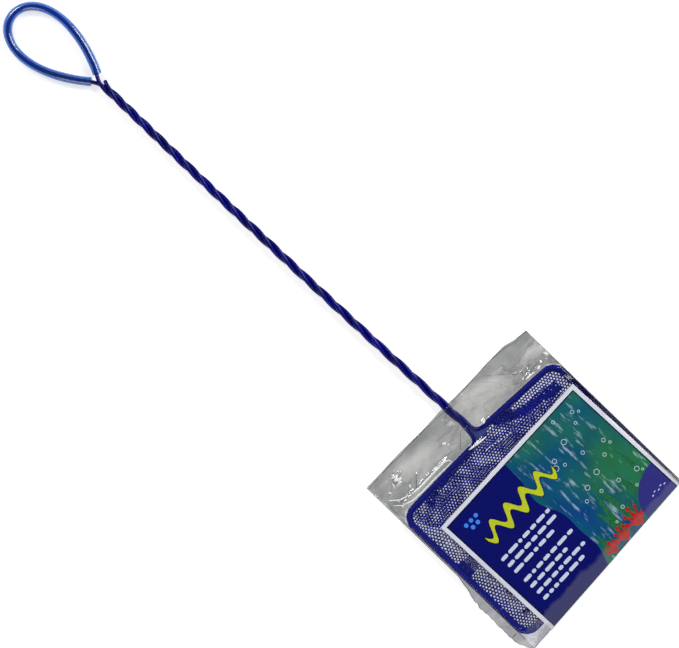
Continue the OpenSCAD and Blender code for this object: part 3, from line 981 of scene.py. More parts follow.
def cloth(net, keep, level, turn, seed, low, high, hole_by):
    """A layer of net over the spots that keep says, at a level, turned and stretched a little out of line.

    Its lattice starts from the rectangle between low and high, and its holes are hole_by times the usual size.
    """
    n = net.net
    closer = np.array([n.squeeze, 1.0])
    c, s = math.cos(turn), math.sin(turn)

    def laid(flat):
        """Where points of the even lattice lie once it is turned, and where stretching draws them."""
        x, y = ((flat * closer) @ np.array([[c, s], [-s, c]])).T
        return x, y, x + n.drift * waves(x, y, 45 * MM, seed, 2), y + n.drift * waves(x, y, 60 * MM, seed + 1, 2)

    centres = hole_centres(low / closer, high / closer, n.pitch)
    centres = centres[keep(*laid(centres)[2:])]
    points, faces = lattice(centres, n.pitch, n.hole * hole_by, n.thread, seed)
    x, y, drawn_x, drawn_y = laid(points[:, :2])
    height = level + points[:, 2] + n.sag * waves(x, y, 17 * MM, seed + 2, 2)
    return np.column_stack([drawn_x, drawn_y, height]), faces.tolist()


# Outline of the pocket's slack under the net, in millimetres
SLACK = (
    (-48.0, 15.0), (-34.5, 53.6), (37.0, 53.6), (37.0, -52.5), (-30.0, -52.5), (-38.0, -57.0), (-46.6, -57.0),
    (-46.6, -8.0), (-49.0, -4.0),
)
# Outlines of the slack's gathered folds, in millimetres
FOLDS = {
    "net_fold_right": (
        (-41.2, 54.9), (-42.3, 46.9), (-42.6, 39.5), (-44.6, 30.9), (-45.8, 26.3), (-49.8, 22.3), (-51.0, 13.0),
        (-48.6, 12.0), (-43.5, 21.2), (-41.2, 26.3), (-40.0, 30.9), (-38.9, 34.9), (-38.3, 41.8), (-35.5, 46.9),
        (-34.9, 54.9),
    ),
    "net_fold_left": (
        (-49.2, -6.3), (-46.4, -10.0), (-45.6, -29.2), (-44.9, -34.9), (-42.3, -41.8), (-41.2, -46.3),
        (-46.9, -49.8), (-49.2, -49.8),
    ),
}
# Turn in degrees and height in millimetres of each layer of a fold, from the slack's own level
FOLD_LAYERS = ((23, 0.2), (-31, -0.22), (52, -0.4))


def within(x, y, outline):
    """Whether each point lies inside an outline given in millimetres."""
    inside = np.zeros(np.shape(x), bool)
    for (ax, ay), (bx, by) in zip(outline, (*outline[1:], outline[0])):
        crossed = (ay * MM > y) != (by * MM > y)
        step = (y - ay * MM) / ((by - ay) * MM) if by != ay else np.zeros(np.shape(y))
        inside ^= crossed & (x < (ax + (bx - ax) * step) * MM)
    return inside


def near_line(net, y):
    """X of the wire's centre along the near bar and its fork."""
    y = np.asarray(y, float)
    hoop, off, reach = net.hoop, net.wire.neck[1], net.wire.neck_pull
    right = -hoop.bar_x - hoop.shoulder_right * (1 - y / hoop.side_y)
    left = -hoop.bar_x - hoop.shoulder_left * (1 + y / hoop.side_y)
    step = np.clip((y - off + reach) / (2 * reach), 0, 1)
    return left + (right - left) * step


# Card and bag

DISC_SIDES = 28


def card_frame(net):
    """The card's middle and its corners, near left first and then by the far edge."""
    card = net.card
    half_l, half_w = card.length / 2, card.width / 2
    shape = turned([
        [-half_l, -half_w, 0], [half_l, -half_w, 0], [half_l - card.trim, half_w, 0], [-half_l, half_w, 0],
    ], card.turn)
    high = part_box("insert_card")[1]
    middle = np.array([high.x - shape[1, 0], high.y - shape[2, 1], 0])
    return middle, shape + middle


def card_top():
    """Height of the card's face, just under its solid's."""
    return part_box("insert_card")[1].z - 0.05 * MM


def on_card(net, along, across, lift=0.0):
    """Points of the card's face, given along and across the card from its middle."""
    along, across = np.broadcast_arrays(np.asarray(along, float), np.asarray(across, float))
    middle, _ = card_frame(net)
    flat = turned(np.stack([along, across, 0 * along], -1), net.card.turn) + middle
    flat[..., 2] = card_top() + lift
    return flat


def card_end(net, across):
    """How far the card reaches along itself, at a place across it."""
    return net.card.length / 2 - net.card.trim * (across / net.card.width + 0.5)


def card_grid(net, low, high, rows, columns, wave=None):
    """Grid of points of the card between two corners, cut off at its end; wave bends its left edge."""
    across = np.linspace(low[1], high[1], columns)[None, :]
    end = np.minimum(high[0], card_end(net, across))
    along = low[0] + (end - low[0]) * np.linspace(0, 1, rows)[:, None]
    if wave is not None:
        across = across + wave(along) * (high[1] - across) / (high[1] - low[1])
    return on_card(net, along, across)


def card_outline(net, points, lift=0.0):
    """A flat printed shape from its outline on the card."""
    points = np.asarray(points, float)
    return on_card(net, points[:, 0], points[:, 1], lift), [list(range(len(points)))]


def disc(at, radius):
    """A circle's outline on the card."""
    return np.asarray(at) + round_section(radius, DISC_SIDES)


def ring_shape(net, at, radius, width):
    """A printed ring."""
    points = np.concatenate([disc(at, radius), disc(at, radius - width)])
    here = np.arange(DISC_SIDES)
    following = np.roll(here, -1)
    faces = np.stack([here, following, DISC_SIDES + following, DISC_SIDES + here], -1)
    return on_card(net, points[:, 0], points[:, 1]), faces.tolist()


def blade(root, tip, bend, width):
    """A leaf's outline from its root to its tip, bent sideways."""
    root, tip = np.array(root), np.array(tip)
    t = np.linspace(0, 1, 14)[:, None]
    way = unit(tip - root)
    side = np.array([-way[1], way[0]])
    middle = root + (tip - root) * t + bend * np.sin(math.pi * t) * side
    half = width / 2 * np.sin(math.pi * (0.12 + 0.88 * t)) ** 0.8
    return np.concatenate([middle + half * side, (middle - half * side)[::-1]])


def bar_shape(low, high, along, height):
    """Outline of a rounded bar across the card, from low to high."""
    r = height / 2
    turn = np.linspace(-math.pi / 2, math.pi / 2, 7)
    right = np.stack([along + r * np.sin(turn), high - r + r * np.cos(turn)], -1)
    left = np.stack([along - r * np.sin(turn), low + r - r * np.cos(turn)], -1)
    return np.concatenate([right, left])


def bag_edges():
    """The bag's outline: its mouth, its folded side, its end line, its welded side and its top."""
    front, end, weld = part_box("bag_front"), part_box("bag_end"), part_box("bag_weld_side")
    return SimpleNamespace(
        mouth=front[0].x, right=front[1].y, left=front[0].y, top=front[0].z,
        far_right=end[0].x, far_left=end[1].x, weld_out=weld[0].y,
        length=end[1].x - front[0].x, width=front[1].y - front[0].y,
    )


def far_edge(edges, y):
    """X of the bag's end at a place across it."""
    return edges.far_right + (edges.far_left - edges.far_right) * (edges.right - y) / edges.width


def bag_grid(edges, s, t, mouth_by):
    """X and Y of points of the film, with s from the mouth to the end and t from the left side to the right.

    The mouth is moved by what mouth_by gives for each place across it, and draws back towards the folded side.
    """
    y = edges.left + edges.width * t + 0 * s
    drawn_back = MM * np.interp(y, [49 * MM, 55 * MM, 63 * MM], [0, 1.7, 2.5])
    mouth = edges.mouth + mouth_by(y) + drawn_back
    return mouth + (far_edge(edges, y) - mouth) * s, y


def distance_to(x, y, line):
    """Distance in plan from each point to a line, and the line's height there."""
    best = np.full(x.shape, 1.0)
    height = np.zeros(x.shape)
    for a, b in zip(line[:-1], line[1:]):
        way = b[:2] - a[:2]
        t = np.clip(((x - a[0]) * way[0] + (y - a[1]) * way[1]) / max(way @ way, 1e-12), 0, 1)
        d = np.hypot(x - a[0] - t * way[0], y - a[1] - t * way[1])
        near = d < best
        best[near] = d[near]
        height[near] = (a[2] + t * (b[2] - a[2]))[near]
    return best, height


def carried_height(net, x, y):
    """The least height at which the front film can lie over each point.

    It is carried by the back film, the net, the hem, the end of the twist, the two necks and the card.
    """
    w, hoop = net.wire, net.hoop
    low = np.full(x.shape, 2.5 * net.bag.lie)
    inside = (np.abs(y) < hoop.side_y) & (x > near_line(net, y)) & (x < hoop.bar_x)
    low[inside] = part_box("net_near")[1].z + 0.2 * MM

    def lay_over(line, radius):
        d, z = distance_to(x, y, line)
        over = d < radius
        low[over] = np.maximum(low[over], (z + np.sqrt(np.clip(radius**2 - d**2, 0, None)))[over])

    lay_over(resampled(hoop_line(net), 4 * MM), hoop.hem_radius + 0.15 * MM)
    over_wire = 0.12 * MM
    to_middle = -1.478 * MM  # springs a strand in to the twist's own middle line
    twist = on_twist(net, np.linspace(w.twist_length - 25 * MM, w.twist_length, 8), 0, to_middle)
    lay_over(twist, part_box("strand_short")[1].z - w.neck[2] + over_wire)
    for neck in necks(net):
        lay_over(neck[::4], w.coat_radius + over_wire)
    _, corners = card_frame(net)
    on = np.ones(x.shape, bool)
    for a, b in zip(corners, np.roll(corners, -1, 0)):
        on &= (b[0] - a[0]) * (y - a[1]) - (b[1] - a[1]) * (x - a[0]) > -0.25 * MM * math.dist(a, b)
    low[on] = card_top() + 0.16 * MM
    return low


# Ridges of the film: from and to, in millimetres, with the ridge's height and half width
RIDGES = (
    ((-48.4, -8.0), (-47.8, 3.5), 1.0, 1.1),
    ((-54.6, -20.5), (-55.0, -57.5), 1.5, 0.75),
    ((-52.9, -22.0), (-53.2, -55.0), 0.9, 0.6),
    ((-53.6, 44.0), (-54.6, 54.0), 0.9, 0.8),
    ((-54.3, 9.0), (-54.6, 12.5), 1.2, 1.0),
    ((-61.2, -38.3), (-54.9, -44.6), 0.9, 0.5),
    ((-58.3, -5.2), (-52.6, -10.9), 0.9, 0.5),
    ((-68.5, -45.0), (-66.0, -52.0), 1.2, 0.9),
    ((-70.5, -49.5), (-64.0, -49.0), 1.0, 0.8),
    ((-63.0, -14.0), (-61.0, -15.5), 0.9, 0.8),
    ((-74.0, 22.0), (-58.0, 46.0), 0.5, 1.6),
    ((-70.0, 10.0), (-60.0, 30.0), 0.35, 1.4),
    ((-66.0, 34.0), (-62.0, 50.0), 0.3, 1.5),
    ((-73.0, -60.0), (-55.0, -62.5), 0.5, 1.0),
    ((43.5, -66.5), (43.3, -61.0), 1.1, 0.35),
    ((50.5, -52.0), (55.0, -60.0), 0.9, 0.8),
    ((53.0, -48.5), (54.5, -56.0), 0.8, 0.6),
    ((30.0, -62.5), (48.0, -64.0), 0.5, 0.8),
    ((-20.0, -63.0), (25.0, -64.2), 0.4, 0.7),
)
# Where the film's wrinkles fan out from, in millimetres, with their height, count and turn
HUBS = (
    ((-53.5, 47.0), 0.2, 21, 0.3),
    ((-56.0, 30.0), 0.35, 17, 1.1),
    ((-59.0, 1.0), 0.35, 15, 0.0),
    ((-52.0, -52.0), 0.5, 19, 0.7),
    ((53.0, -56.0), 0.4, 17, 0.2),
)
# Painted glints, as white strips along the film's creases: points along each, and its half width, in millimetres
PAINTED_GLINTS = (
    (((-51.2, -19.7), (-53.5, -20.2), (-54.6, -22.8), (-54.6, -35.4), (-54.6, -43.4), (-55.4, -50.3),
      (-57.8, -56.6), (-61.8, -60.9)), 0.58),
    (((-51.5, -20.5), (-51.8, -32.5), (-51.7, -44.0), (-52.3, -51.4), (-54.3, -57.1), (-57.8, -61.1)), 0.42),
    (((-49.3, -8.0), (-48.3, -2.2), (-47.5, 4.3)), 0.65),
    (((-54.2, 8.4), (-54.6, 10.4)), 0.75),
    (((-62.5, -16.2), (-61.2, -14.5)), 0.95),
    (((-60.3, -14.1), (-59.4, -13.6)), 0.58),
    (((-53.4, 55.0), (-53.1, 52.4)), 0.80),
    (((-53.3, 50.1), (-53.7, 47.0), (-54.0, 43.5)), 0.58),
    (((-69.5, -50.9), (-68.4, -46.8), (-67.2, -50.3), (-65.8, -46.6), (-64.3, -51.4)), 0.80),
    (((-67.5, -52.0), (-64.6, -53.4)), 0.40),
    (((-70.6, -53.7), (-69.8, -54.6)), 0.35),
    (((-64.9, -57.7), (-63.5, -56.9)), 0.58),
    (((-59.8, -46.0), (-58.1, -46.7)), 0.40),
    (((51.2, -60.9), (53.8, -57.4)), 0.25),
    (((51.5, -57.7), (53.5, -60.6)), 0.25),
    # A row of nine short ones beside the fork
    *((((round(0.37 * k - 42.325, 1), 2 * k - 1.1), (round(0.37 * k - 42.035, 1), 2 * k - 0.3)), 0.42)
      for k in range(9)),
)
# Sharp folds of the film, darker partly as painted shade, in the same way
FOLDED = (
    (((-59.5, -4.5), (-56.1, -7.7), (-52.9, -11.4)), 0.20),
    (((-61.2, -38.8), (-57.8, -42.3), (-54.9, -45.1)), 0.22),
    (((43.8, -64.6), (44.0, -68.3)), 0.22),
    (((-73.2, 27.5), (-62.9, 39.0), (-53.2, 49.2)), 0.10),
    (((-74.4, 21.8), (-64.1, 30.9), (-53.8, 35.5)), 0.09),
    (((-54.4, 49.6), (-56.2, 47.3), (-58.2, 44.8)), 0.28),
    (((-59.6, 42.0), (-61.4, 39.8)), 0.2),
)


def draped_film(net):
    """Grid of points for the front film: it sags on to what carries it and is then wrinkled where it hangs free."""
    bag, edges = net.bag, bag_edges()
    settling = 1400  # rounds of sagging

    def crowded(size):
        """Shares from 0 to 1 that lie closer together at both ends."""
        t = np.linspace(0, 1, round(size / bag.cell))
        return t - 0.55 * np.sin(2 * math.pi * t) / (2 * math.pi)

    s, t = crowded(edges.length)[:, None], crowded(edges.width)[None, :]
    x, y = bag_grid(edges, s, t, lambda y: 0.5 * MM * (1 + waves(y, 0 * y, 34 * MM, 21, 2)))
    low = carried_height(net, x, y)
    held = np.zeros(x.shape, bool)
    held[-1, :] = held[:, 0] = held[:, -1] = True
    rim = 1.2 * bag.lie
    z = np.maximum(low, 3 * MM)
    z[held] = low[held] = rim
    for _ in range(settling):
        around = z.copy()
        around[1:-1, 1:-1] = (z[2:, 1:-1] + z[:-2, 1:-1] + z[1:-1, 2:] + z[1:-1, :-2]) / 4
        around[0, 1:-1] = (2 * z[1, 1:-1] + z[0, 2:] + z[0, :-2]) / 4
        z = np.maximum(around - bag.sag * MM, low)
        z[held] = rim

    loose = np.clip((z - low) / (1.5 * MM), 0.12, 1)
    quiet = np.clip(np.minimum(np.minimum(s, 1 - s), np.minimum(t, 1 - t)) / 0.01, 0, 1)
    ripple = waves(x + 0.4 * y, y - 0.3 * x, 21 * MM, 31, 3)
    z = z + bag.wrinkle * loose * quiet * (1.2 * np.clip(ripple, 0, None) ** 1.5 + 0.25 * waves(x, y, 5 * MM, 33, 2))
    for (hub_x, hub_y), height, count, turn in HUBS:
        off_x, off_y = x - hub_x * MM, y - hub_y * MM
        away = np.hypot(off_x, off_y)
        folds = count * np.arctan2(off_y, off_x) + turn + 3 * waves(x, y, 30 * MM, count, 2)
        fan = np.clip(np.sin(folds), 0, None) ** 2
        z = z + quiet * loose * height * MM * fan * np.exp(-away / (22 * MM)) * np.clip(away / (5 * MM), 0, 1)
    for a, b, height, half in RIDGES:
        d, _ = distance_to(x, y, np.array([(*a, 0), (*b, 0)]) * MM)
        z = z + quiet * height * MM * np.exp(-((d / (half * MM)) ** 2))
    z = np.minimum(np.maximum(z, low), edges.top + 0.2 * MM)
    z[held] = rim
    return np.stack([x, y, z], -1)


def lip_shape(line, radius):
    """A thin edge of film along a line, no lower than the surface that the part lies on."""
    line = resampled(line, 0.8 * MM)
    line[:, 2] = np.maximum(line[:, 2], radius)
    ways = headings(line)
    return skin(rings_round(line, ways, carried_sides(ways), round_section(radius, 8)))


def crease_shape(front, table):
    """Flat strips along the creases of a table, pointed at both ends and laid on the front film."""
    parts = []
    for points, half in table:
        line = resampled(np.array([(*point, 0) for point in points]) * MM, 0.3 * MM)
        nearest = ((front[:, :, None, :2] - line[:, :2]) ** 2).sum(-1).reshape(-1, len(line)).argmin(0)
        line[:, 2] = front[..., 2].ravel()[nearest] + 0.14 * MM
        ways = headings(line)
        rings = rings_round(line, ways, carried_sides(ways), round_section(half * MM, 8))
        pointed = np.sin(math.pi * np.linspace(0.06, 0.94, len(line)))[:, None, None] ** 0.5 * [1, 1, 0.4]
        parts.append(skin(line[:, None] + (rings - line[:, None]) * pointed))
    return merged(parts)


# The card's print

INK = 0.006 * MM  # height of one layer
SHORE = -4.5 * MM  # left edge of the water, across the card


def printed_field(net, grow):
    """The printed field with a margin added, which runs off the card's end."""
    card = net.card
    low = (-card.length / 2 + card.border - grow, -card.width / 2 + card.border - grow)
    high = (card.length / 2 + MM, card.width / 2 - card.border + grow)
    return sheet_grid(card_grid(net, low, high, 12, 12))


def printed_water(net):
    """The water, with a wavy left edge."""
    card = net.card

    def wave(along):
        return 2.6 * MM * np.sin(along / (11 * MM)) + 1.0 * MM * np.sin(along / (4.6 * MM) + 1)

    low, high = (-card.length / 2 + card.border, SHORE), (card.length / 2 + MM, card.width / 2 - card.border)
    return sheet_grid(card_grid(net, low, high, 60, 40, wave))


def printed_leaves(net):
    """Nine long leaves that grow from the card's end, each a little over the last."""
    leaves = []
    for k in range(9):
        root = (card_end(net, 0.03) - 1 * MM, SHORE + (9 + 5.6 * k) * MM)
        tip = (root[0] - (15 + 9 * ((k * 5) % 4)) * MM, root[1] + (3 * ((k % 3) - 1)) * MM)
        leaves.append(card_outline(net, blade(root, tip, (2 - 4 * (k % 2)) * MM, 3.4 * MM), 0.07 * k * INK))
    return merged(leaves)


def printed_corals(net):
    """Three fans of short red branches with round tips, each part a little over the last."""
    parts = []
    for across, reach in ((2.5, 7.0), (12.0, 9.0), (24.0, 12.0)):
        root = card_end(net, across * MM) / MM - 1
        for turn in (-0.9, -0.45, 0.0, 0.4, 0.85):
            branch = reach * (1 - 0.25 * abs(turn))
            tip = (root - branch * math.cos(turn), across + branch * math.sin(turn))
            for shape in (blade((root, across), tip, 0.8 * turn, 2.0), disc(tip, 1.1)):
                parts.append(card_outline(net, shape * MM, 0.02 * len(parts) * INK))
    return merged(parts)


def printed_bubbles(net):
    """Rings that rise in a wavy line."""
    spots = np.random.default_rng(8)
    rings = []
    for k in range(22):
        at = np.array([-36 + 3.1 * k + spots.uniform(-1, 1), 30 + 17 * math.sin(0.8 * k) + spots.uniform(-2, 2)]) * MM
        radius = spots.uniform(0.7, 1.9) * MM
        if at[0] < card_end(net, at[1]) - 3 * MM:
            rings.append(ring_shape(net, at, radius, 0.3 * MM))
    return merged(rings)


def printed_corner(net):
    """A plain quarter round in the field's far right corner, and the short rules on it."""
    right = net.card.width / 2 - net.card.border
    corner = card_end(net, right)
    inset = 0.2 * MM
    fan = [(corner - inset, right)]
    fan += [(corner - inset - 20 * MM * math.cos(a), right - 24 * MM * math.sin(a))
            for a in np.linspace(0, math.pi / 2, 24)]
    fan = [(min(a, card_end(net, b) - inset), b) for a, b in fan]
    ticks = []
    for k in range(5):
        low, high, along = right - (4 + 2.4 * k) * MM, right - (2.6 + 2.4 * k) * MM, corner - (6.5 + (k % 2)) * MM
        ticks.append(card_outline(net, bar_shape(low, high, along, 0.6 * MM)))
    return card_outline(net, fan), merged(ticks)


def printed_ribbon(net, grow):
    """A plain wavy ribbon, with a margin added."""
    t = np.linspace(0, 1, 90)
    across = (-43 + 56 * t) * MM
    along = (-19 + 4.2 * np.sin(2 * math.pi * 4.5 * t)) * MM
    half = (2.8 * np.sin(math.pi * (0.1 + 0.8 * t)) ** 0.5) * MM + grow
    across[[0, -1]] += -grow, grow
    low, high = np.stack([along - half, across], -1), np.stack([along + half, across], -1)
    return card_outline(net, np.concatenate([low, high[::-1]]))


def printed_rules(net):
    """Seven rows of plain bars of uneven length."""
    lengths = np.random.default_rng(4)
    rules = []
    for row in (-4.5, 0.5, 5.5, 13.0, 18.0, 23.0, 28.0):
        start, stop = -46.0, lengths.uniform(-17, -8)
        while start < stop:
            end = start + lengths.uniform(2.2, 7.5)
            rules.append(card_outline(net, bar_shape(start * MM, end * MM, row * MM, 2.1 * MM)))
            start = end + 1.0
    return merged(rules)


def printed_dots(net):
    """Five dots in two rows."""
    places = ((-33, -45), (-33, -41), (-33, -37), (-29.5, -43), (-29.5, -39))
    return merged([card_outline(net, disc((a * MM, b * MM), 1.3 * MM)) for a, b in places])


# Operators


class PieceOperator:
    """What the operators share: undo and the settings."""

    bl_options = {"REGISTER", "UNDO"}

    @property
    def net(self):
        return bpy.context.scene.fish_net


class FISHNET_OT_stage(PieceOperator, Operator):
    """Sets the floor, the soft studio lamps and the camera"""

    bl_idname = "fishnet.stage"
    bl_label = "Stage"

    def execute(self, context):
        stage, scene = self.net.stage, context.scene
        scene.view_settings.view_transform = "Standard"
        aim = Vector(stage.aim)
        right = Vector((math.cos(stage.turn), math.sin(stage.turn), 0))
        up = Vector((-math.sin(stage.turn), math.cos(stage.turn), 0))
        back = Vector((0, 0, 1))
        lens = bpy.data.cameras.new("camera")
        lens.lens, lens.sensor_width = stage.lens, stage.sensor
        scene.camera = placed("camera", lens)
        from_aim = Matrix.Translation(aim + back * stage.span * stage.lens / stage.sensor)
        scene.camera.matrix_world = from_aim @ Matrix((right, up, back)).transposed().to_4x4()

        mesh = bpy.data.meshes.new("floor")
        half, level = 4.0, -0.1 * MM
        corners = ((-half, -half), (half, -half), (half, half), (-half, half))
        mesh.from_pydata([(*corner, level) for corner in corners], [], [(0, 1, 2, 3)])
        mesh.materials.append(floor_finish(self.net.colours, stage.floor_glow))
        placed("floor", mesh)

        scene.world = bpy.data.worlds.new("studio")
        scene.world.use_nodes = True
        ground = scene.world.node_tree.nodes["Background"]
        ground.inputs["Color"].default_value = (1, 1, 1, 1)
        ground.inputs["Strength"].default_value = stage.world
        # Name, power and size, and the place to the picture's right, up it and away from the floor
        for name, power, size, (across, over, away) in (
            ("key", stage.key, 0.8, (0.85, 0.9, 1.0)),
            ("spark", stage.spark, 0.45, (-0.8, 0.85, 1.05)),
            ("fill", stage.fill, 1.4, (-0.3, -1.4, 1.1)),
        ):
            data = bpy.data.lights.new(name, "AREA")
            data.energy, data.size, data.shape = power, size, "DISK"
            lamp = placed(name, data)
            lamp.location = aim + right * across + up * over + back * away
            lamp.rotation_euler = (aim - lamp.location).to_track_quat("-Z", "Y").to_euler()
        return {"FINISHED"}


class FISHNET_OT_wire(PieceOperator, Operator):
    """Makes the vinyl coat as one smooth run of lengths over the twist, the loop and the hoop"""

    bl_idname = "fishnet.wire"
    bl_label = "Coated wire"

    def execute(self, context):
        net = self.net
        vinyl = vinyl_finish(net.colours)
        runs = wire_runs(net)
        points = joined(*runs.values())
        ways = headings(points)
        sides = carried_sides(ways)
        first, *_, last = runs
        start = 0
        for name, run in runs.items():
            part = slice(start, start + len(run))
            rings = coat_rings(net, points[part], ways[part], sides[part], name == first, name == last)
            make_piece(name + "_smooth", skin(rings), vinyl, "net", [name], sharp=50)
            start += len(run) - 1
        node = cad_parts["steel_wire"]
        node.data.materials.clear()
        node.data.materials.append(steel_finish())
        return {"FINISHED"}


class FISHNET_OT_grip(PieceOperator, Operator):
    """Makes the clear grip tube over the loop, cut square at both ends"""

    bl_idname = "fishnet.grip"
    bl_label = "Grip tube"

    def execute(self, context):
        net, loop = self.net, self.net.loop
        start = loop_turn(net, loop.tube_start)
        line = resampled(on_loop(net, np.linspace(start, 2 * math.pi - start, 400)), 1.1 * MM)
        ways = headings(line)
        sides = carried_sides(ways)
        s = measured(line)[:, None, None]
        slack = 1 + 0.025 * np.sin(s / (9 * MM)) + 0.015 * np.sin(s / (3.7 * MM))
        outer, inner = (
            rings_round(line, ways, sides, round_section(radius, TUBE_SIDES) * slack)
            for radius in (loop.tube_radius, loop.tube_radius - loop.tube_wall)
        )
        middle = (outer + inner) / 2
        for part, rings, flank, nodes in (
            ("outside", (middle[:1], outer, middle[-1:]), 0.9, ["grip_tube"]),
            ("bore", (middle[-1:], inner[::-1], middle[:1]), 0.1, []),
        ):
            tube = tube_finish("clear_tube_" + part, net.colours, flank)
            make_piece("grip_tube_" + part, skin(np.concatenate(rings), caps=False), tube, "net",
                       nodes, sharp=50)
        return {"FINISHED"}


class FISHNET_OT_hem(PieceOperator, Operator):
    """Makes the hem of wrapped net round the hoop, its bridge at the fork and its stitching"""

    bl_idname = "fishnet.hem"
    bl_label = "Hem"

    def execute(self, context):
        net, hoop = self.net, self.net.hoop
        knit = knit_finish("hem_knit", net.colours.hem, 1.25 * MM, 0.2 * MM, 0.1)
        thread = thread_finish(net.colours)
        spans = hoop_spans(net)
        for name in ("hem_near_left", "hem_near_right", "hem_far"):
            line = resampled(spans[name], 0.7 * MM)
            make_piece(name + "_cloth", skin(hem_rings(net, line)), knit, "net", [name], sharp=70)
            rows = stitch_row(
                line, hoop.stitch + hoop.stitch_gap, hoop.hem_radius + 0.5 * hoop.flange_width,
                hoop.flange_depth - hoop.hem_radius, hoop.stitch, hoop.thread, 0.12,
            )
            make_piece(name + "_stitches", rows, thread, "net")

        # Cloth stretched over the fork, from the two neck bends to the near bar and in under the net
        left, right = (neck[1:] for neck in necks(net))
        rows = [(a, b, 0.0) for a, b in zip(left, right)]
        rows += [(left[-1], right[-1], reach * MM) for reach in (0.8, 1.6, 2.4, 3.2)]
        t = np.linspace(0, 1, 28)
        web = []
        for k, (a, b, reach) in enumerate(rows):
            line = a + (b - a) * t[:, None] + [reach, 0, 0]
            line[:, 2] += 0.7 * MM - 0.7 * MM * np.sin(math.pi * t) - 0.35 * reach
            line[:, 2] += 0.12 * MM * np.sin(9 * t + 0.8 * k)
            web.append(line)
        bridge = knit_finish("bridge_knit", net.colours.stretched, 1.9 * MM, 0.2 * MM, 0.05)
        make_piece("hem_bridge", slab(np.array(web), 0.3 * MM), bridge, "net", sharp=70)
        return {"FINISHED"}


class FISHNET_OT_seams(PieceOperator, Operator):
    """Makes the gathered side seams, each a collar on the hem and a pleated tongue, and the pocket's toe"""

    bl_idname = "fishnet.seams"
    bl_label = "Seams"

    def execute(self, context):
        net, hoop = self.net, self.net.hoop
        gathered = knit_finish("seam_knit", net.colours.seam, 1.1 * MM, 0.25 * MM, 0.2)
        thread = thread_finish(net.colours)
        for name, side in (("side_seam_right", 1), ("side_seam_left", -1)):
            collar, tongue, lines = self.side_seam(name, side)
            make_piece(name + "_gathers", merged([skin(collar), skin(tongue)]), gathered, "net",
                       [name], sharp=70)
            rows = [stitch_row(line, 1.5 * MM, 0, 0, 1.3 * MM, hoop.thread, 0.5) for line in lines]
            make_piece(name + "_stitches", merged(rows), thread, "net")

        low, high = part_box("toe_seam")
        x, z, half_z = (low.x + high.x) / 2, (low.z + high.z) / 2, (high.z - low.z) / 2
        line = resampled(np.array([[x, low.y, z], [x, high.y, z]]), 0.5 * MM)
        line[:, 0] += 0.3 * MM * np.sin(line[:, 1] / (11 * MM))
        section = round_section(1.0, ROLL_SIDES) * [(high.x - low.x) / 2, half_z]
        puckers = 1 + 0.07 * np.sin(measured(line)[:, None] / (0.5 * MM) + 0.6 * np.arange(ROLL_SIDES))
        roll = wrapped(line, section * puckers[..., None])
        make_piece("toe_seam_roll", skin(roll), gathered, "net", ["toe_seam"], sharp=70)
        rows = stitch_row(line, 2.2 * MM, 0, half_z, 1.7 * MM, hoop.thread, 0.6)
        make_piece("toe_seam_stitches", rows, thread, "net")
        return {"FINISHED"}

    def side_seam(self, name, side):
        """Rings of the seam's collar and of its tongue, and the two lines of its stitches."""
        hoop = self.net.hoop
        low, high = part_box(name)
        middle, half, bottom = (low.x + high.x) / 2, (high.x - low.x) / 2, low.z + 0.02 * MM
        edge = side * (hoop.side_y - 0.4 * hoop.hem_radius)
        inwards = (low.y if side > 0 else high.y) - edge

        line = resampled(hoop_spans(self.net)[name], 0.45 * MM)
        s, section = measured(line)[:, None], hem_section(hoop)
        k = np.arange(len(section))
        pleats = 1.0 + 0.05 * np.sin(s / (0.33 * MM) + 0.25 * k) + 0.03 * np.sin(s / (0.9 * MM) - 0.4 * k)
        collar = wrapped(line, section * pleats[..., None])

        tongue = []
        a = np.linspace(-1, 1, 60)
        dome = np.sqrt(np.clip(1.02 - a**2, 0, 1))
        for t in np.linspace(0, 1, 44):
            crest = 0.35 + 0.65 * np.abs(np.sin(3.5 * math.pi * (a + 0.06 * math.sin(9 * t))))
            upper = (0.5 * (1 - t) ** 0.7 + 0.12) * MM * crest * dome + 0.25 * MM
            x = middle + half * (1 - 0.5 * t) * a + 0.25 * MM * math.sin(7 * t)
            over, under = (np.stack([x, 0 * x + edge + inwards * t, bottom + rise], -1) for rise in (upper, 0 * x))
            tongue.append(np.concatenate([over, under[::-1]])[::side])

        t = np.linspace(0.06, 0.92, 12)
        lines = [
            np.stack([middle + offset * half * (1 - 0.5 * t), edge + inwards * t,
                      bottom + (0.62 * (1 - t) ** 0.7 + 0.42) * MM], -1)
            for offset in (-0.3, 0.32)
        ]
        return collar, np.array(tongue), lines


